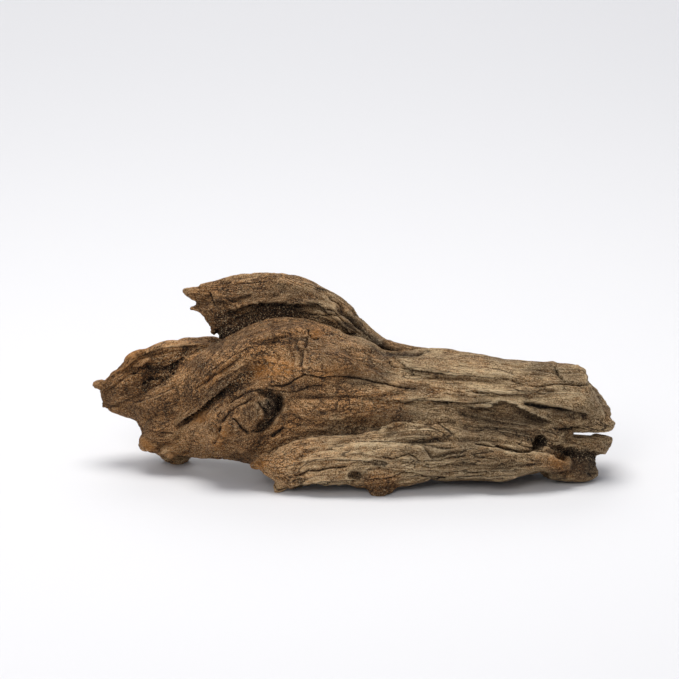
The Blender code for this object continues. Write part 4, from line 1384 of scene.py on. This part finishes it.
def all_edge_marks(wood, jitter):
    """Painted shade under, and painted highlights on, the ledges and the edges of thick and thin layers."""
    across = wood.shifted(wood.stored("across_ledge"), jitter, LEDGE_JITTER)
    under, highlight_lip = edge_marks(wood, across, wood.stored("ledge_clear"))
    counts = wood.parts(wood.stored("layer_counts", "Vector"))
    steps = wood.parts(wood.stored("layer_steps", "Vector"))
    for count, step, period, share in zip(counts, steps, (THICK_LAYER, THIN_LAYER), (1.0, THIN_MARK)):
        line, light = layer_marks(wood, count, step, period, jitter)
        under = wood.highest(under, wood.product(line, share))
        highlight_lip = wood.highest(highlight_lip, wood.product(light, share))
    return under, highlight_lip


def wood_colour(wood, colours, noise, marks, tone):
    """The colour of the wood: grey or warm by its tone, then ochre, dirt, painted shade and painted glints.
    """
    umber = Vector(colours.umber)
    brown = Vector(colours.brown)
    olive = Vector(colours.olive)
    bleached = Vector(colours.bleached)
    warm = wood.ramp(tone, [
        (0.02, umber * 0.6), (0.30, umber * 1.8), (0.55, brown), (0.80, brown * 1.75),
        (1.0, (brown * 2.0).lerp(bleached, 0.5)),
    ])
    grey = wood.ramp(tone, [
        (0.02, umber * 0.6), (0.28, olive * 0.5), (0.55, olive), (0.80, olive * 1.65), (1.0, bleached),
    ])
    tint = wood.product(wood.centred(noise["tints"]), TINT_SHARE)
    colour = wood.mix(wood.math("ADD", marks["rust"], tint, clamp=True), grey, warm)
    ochre = wood.product(wood.stored("ochre"), wood.fade(noise["flecks"], "ochre flecks"), OCHRE_SHARE)
    colour = wood.mix(ochre, colour, colours.ochre)
    # Painted shade from the shade ovals
    colour = wood.mix(wood.product(wood.stored("painted_shade"), PAINTED_SHADE_SHARE), colour, colours.shadow)
    # Dirt in cracks, flake rims, seams, hollows and splits, with painted shade under proud edges
    dirt_and_shade = wood.highest(*(wood.product(marks[name], share) for name, share in DIRT_AND_SHADE_SHARES.items()))
    colour = wood.mix(dirt_and_shade, colour, colours.shadow)
    glint = wood.math("ADD", wood.math("ADD", marks["pale"], marks["dark"]), GLINT_EVERYWHERE, clamp=True)
    glint = wood.product(wood.fade(noise["crumbs"], "glint"), glint, GLINT_SHARE)
    return wood.mix(glint, colour, bleached)


def wood_material(name, colours, warmth):
    """Weathered wood: streaks and lines along the fibres, darker where sunk and lighter on ridges."""
    wood = Nodes(name)
    place = wood.add("TexCoord", output="Object")
    spaces = {
        "fibre": wood.stored("fibre", "Vector"), "place": wood.stretched(place, (1 / METRES,) * 3),
    }
    noise = {key: wood.noise(spaces[pattern.space], pattern) for key, pattern in PATTERNS.items()}
    jitter = wood.centred(noise["flecks"])
    rusty = wood.spread(noise["blotch"], *RUST_BLOTCHES, warmth - RUST_RANGE, warmth + RUST_RANGE)
    rust = wood.math("ADD", wood.stored("rust"), rusty, clamp=True)
    threads = wood.add("Mix", {0: rust, 2: noise["long_threads"], 3: noise["short_threads"]})
    marks = {key: wood.stored(key) for key in ("pale", "dark", "sunk", "crack")}
    marks["rust"] = rust
    marks["threads"] = wood.centred(threads)
    marks["grains"] = wood.product(wood.centred(noise["grit"]), wood.fade(rust, "grit in rust"))
    marks["flake"], marks["rim"] = flakes(wood, spaces, noise["blotch"], rust, jitter)
    marks["seam"] = wood.product(
        wood.fade(wood.math("ABSOLUTE", wood.centred(noise["seams"])), "seam"),
        wood.fade(noise["blotch"], "seams shown"), SEAM_SHARE,
    )
    marks["pore"] = wood.fade(noise["pores"], "pore")
    marks["hollow"] = wood.product(
        wood.fade(marks["dark"], "hollow"), wood.fade(noise["grit"], "hollow in grit")
    )
    marks["split"] = split_marks(wood, noise["streaks"], jitter)
    marks["under"], marks["highlight_lip"] = all_edge_marks(wood, jitter)

    swings = {key: wood.centred(noise[key]) for key in ("broad", "streaks", "flecks", "crumbs")}
    tone = wood.weighed(MIDDLE_TONE, marks | swings, TONE_SHARES)
    tone = wood.math("ADD", tone, 0.0, clamp=True)
    relief = wood.weighed(0.0, marks | noise, RELIEF_SHARES)
    bump = wood.add("Bump", {"Strength": 1.0, "Distance": BUMP_DEPTH, "Height": relief})
    wood.give(wood.shader.inputs["Base Color"], wood_colour(wood, colours, noise, marks, tone))
    wood.give(wood.shader.inputs["Roughness"], wood.fade(tone, "roughness"))
    wood.give(wood.shader.inputs["Normal"], bump)
    wood.give(wood.shader.inputs["Specular IOR Level"], WOOD_SPECULAR)
    return wood.material


def dress(piece, node, slot, colours, warmth):
    """Gives a piece its finish, hangs it under the root body and hides the part of the frame it stands for.
    """
    piece.data.materials.clear()
    piece.data.materials.append(wood_material(slot, colours, warmth))
    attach(piece, "root")
    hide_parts(node)


class DRIFTWOOD_OT_trunk(bpy.types.Operator):
    """Model the trunk with its shoulder, knot, slab, prongs and feet"""

    bl_idname = "driftwood.trunk"
    bl_label = "Trunk"

    def execute(self, context):
        shape = context.scene.driftwood_shape
        piece = limb("trunk_wood", TRUNK, shape.trunk_cell, shape.trunk_triangles, shape)
        dress(piece, "trunk", "trunk_wood", context.scene.driftwood_colours, TRUNK.warmth)
        return {"FINISHED"}


class DRIFTWOOD_OT_upper_branch(bpy.types.Operator):
    """Model the branch that rises behind the shoulder"""

    bl_idname = "driftwood.upper_branch"
    bl_label = "Upper Branch"

    def execute(self, context):
        shape = context.scene.driftwood_shape
        piece = limb("upper_branch_wood", BRANCH, shape.limb_cell, shape.limb_triangles, shape)
        dress(piece, "upper_branch", "branch_wood", context.scene.driftwood_colours, BRANCH.warmth)
        return {"FINISHED"}


class DRIFTWOOD_OT_left_root(bpy.types.Operator):
    """Model the hollowed root at the left end"""

    bl_idname = "driftwood.left_root"
    bl_label = "Left Root"

    def execute(self, context):
        shape = context.scene.driftwood_shape
        piece = limb("left_root_wood", ROOT, shape.limb_cell, shape.limb_triangles, shape)
        dress(piece, "left_root", "root_wood", context.scene.driftwood_colours, ROOT.warmth)
        return {"FINISHED"}


def add_floor(colours):
    """A wide round floor, which is all that the camera sees behind the wood."""
    form = bmesh.new()
    bmesh.ops.create_circle(form, cap_ends=True, segments=FLOOR_POINTS, radius=FLOOR_RADIUS)
    floor = bpy.data.objects.new("floor", bpy.data.meshes.new("floor"))
    form.to_mesh(floor.data)
    form.free()
    bpy.context.scene.collection.objects.link(floor)
    finish = Nodes("floor")
    finish.give(finish.shader.inputs["Base Color"], (*colours.floor, 1))
    finish.give(finish.shader.inputs["Roughness"], FLOOR_ROUGHNESS)
    finish.give(finish.shader.inputs["Specular IOR Level"], FLOOR_SPECULAR)
    floor.data.materials.append(finish.material)


def add_lamp(lamp):
    light = bpy.data.objects.new(lamp.name, bpy.data.lights.new(lamp.name, "AREA"))
    light.data.shape = "DISK"
    light.data.size = lamp.size
    light.data.energy = lamp.power
    light.data.color = lamp.colour
    turn = (Vector(lamp.place) - Vector(lamp.aim)).to_track_quat("Z", "Y").to_matrix().to_4x4()
    light.matrix_world = Matrix.Translation(lamp.place) @ turn
    bpy.context.scene.collection.objects.link(light)


def add_camera():
    """A camera with a long lens that sees the face as the photograph does."""
    camera = bpy.data.objects.new("camera", bpy.data.cameras.new("camera"))
    camera.data.sensor_width = SENSOR
    camera.data.lens = SENSOR * SIGHT_DISTANCE / SIGHT_WIDTH
    camera.data.clip_end = SIGHT_END
    lowest = FRONT_FOOT_INTO * math.sin(FACE_LEAN)
    aim = Vector((
        SIGHT_X - CENTRE_X,
        SIGHT_UP * math.sin(FACE_LEAN) - CENTRE_Y,
        SIGHT_UP * math.cos(FACE_LEAN) + lowest,
    )) * METRES
    back = Vector((0, -math.cos(SIGHT_HEIGHT), math.sin(SIGHT_HEIGHT)))
    turn = back.to_track_quat("Z", "Y").to_matrix().to_4x4()
    camera.matrix_world = Matrix.Translation(aim + back * SIGHT_DISTANCE * METRES) @ turn
    bpy.context.scene.collection.objects.link(camera)
    bpy.context.scene.camera = camera


class DRIFTWOOD_OT_stage(bpy.types.Operator):
    """Add the floor, the soft lights and the camera"""

    bl_idname = "driftwood.stage"
    bl_label = "Stage"

    def execute(self, context):
        add_floor(context.scene.driftwood_colours)
        for lamp in LAMPS:
            add_lamp(lamp)
        world = bpy.data.worlds.new("studio")
        world.use_nodes = True
        world.node_tree.nodes["Background"].inputs["Color"].default_value = STUDIO_COLOUR
        world.node_tree.nodes["Background"].inputs["Strength"].default_value = STUDIO_STRENGTH
        context.scene.world = world
        context.scene.view_settings.view_transform = "Standard"
        add_camera()
        return {"FINISHED"}


class DRIFTWOOD_PT_panel(bpy.types.Panel):
    """Lists the pieces of the driftwood and what can be changed about them"""

    bl_idname = "DRIFTWOOD_PT_panel"
    bl_label = "Driftwood"
    bl_space_type = "VIEW_3D"
    bl_region_type = "UI"
    bl_category = "Driftwood"

    def draw(self, context):
        column = self.layout.column()
        for group in (context.scene.driftwood_shape, context.scene.driftwood_colours):
            for name in group.bl_rna.properties.keys():
                if name not in {"rna_type", "name"}:
                    column.prop(group, name)
        for operator in OPERATORS:
            column.operator(operator.bl_idname)


OPERATORS = (
    DRIFTWOOD_OT_trunk,
    DRIFTWOOD_OT_upper_branch,
    DRIFTWOOD_OT_left_root,
    DRIFTWOOD_OT_stage,
)
CLASSES = (DriftwoodShape, DriftwoodColours, *OPERATORS, DRIFTWOOD_PT_panel)


def register():
    for cls in CLASSES:
        bpy.utils.register_class(cls)
    bpy.types.Scene.driftwood_shape = PointerProperty(type=DriftwoodShape)
    bpy.types.Scene.driftwood_colours = PointerProperty(type=DriftwoodColours)


def unregister():
    del bpy.types.Scene.driftwood_colours
    del bpy.types.Scene.driftwood_shape
    for cls in reversed(CLASSES):
        bpy.utils.unregister_class(cls)


def main():
    register()
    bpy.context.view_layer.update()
    bpy.ops.driftwood.stage()
    bpy.ops.driftwood.trunk()
    bpy.ops.driftwood.upper_branch()
    bpy.ops.driftwood.left_root()


if __name__ == "__main__":
    main()
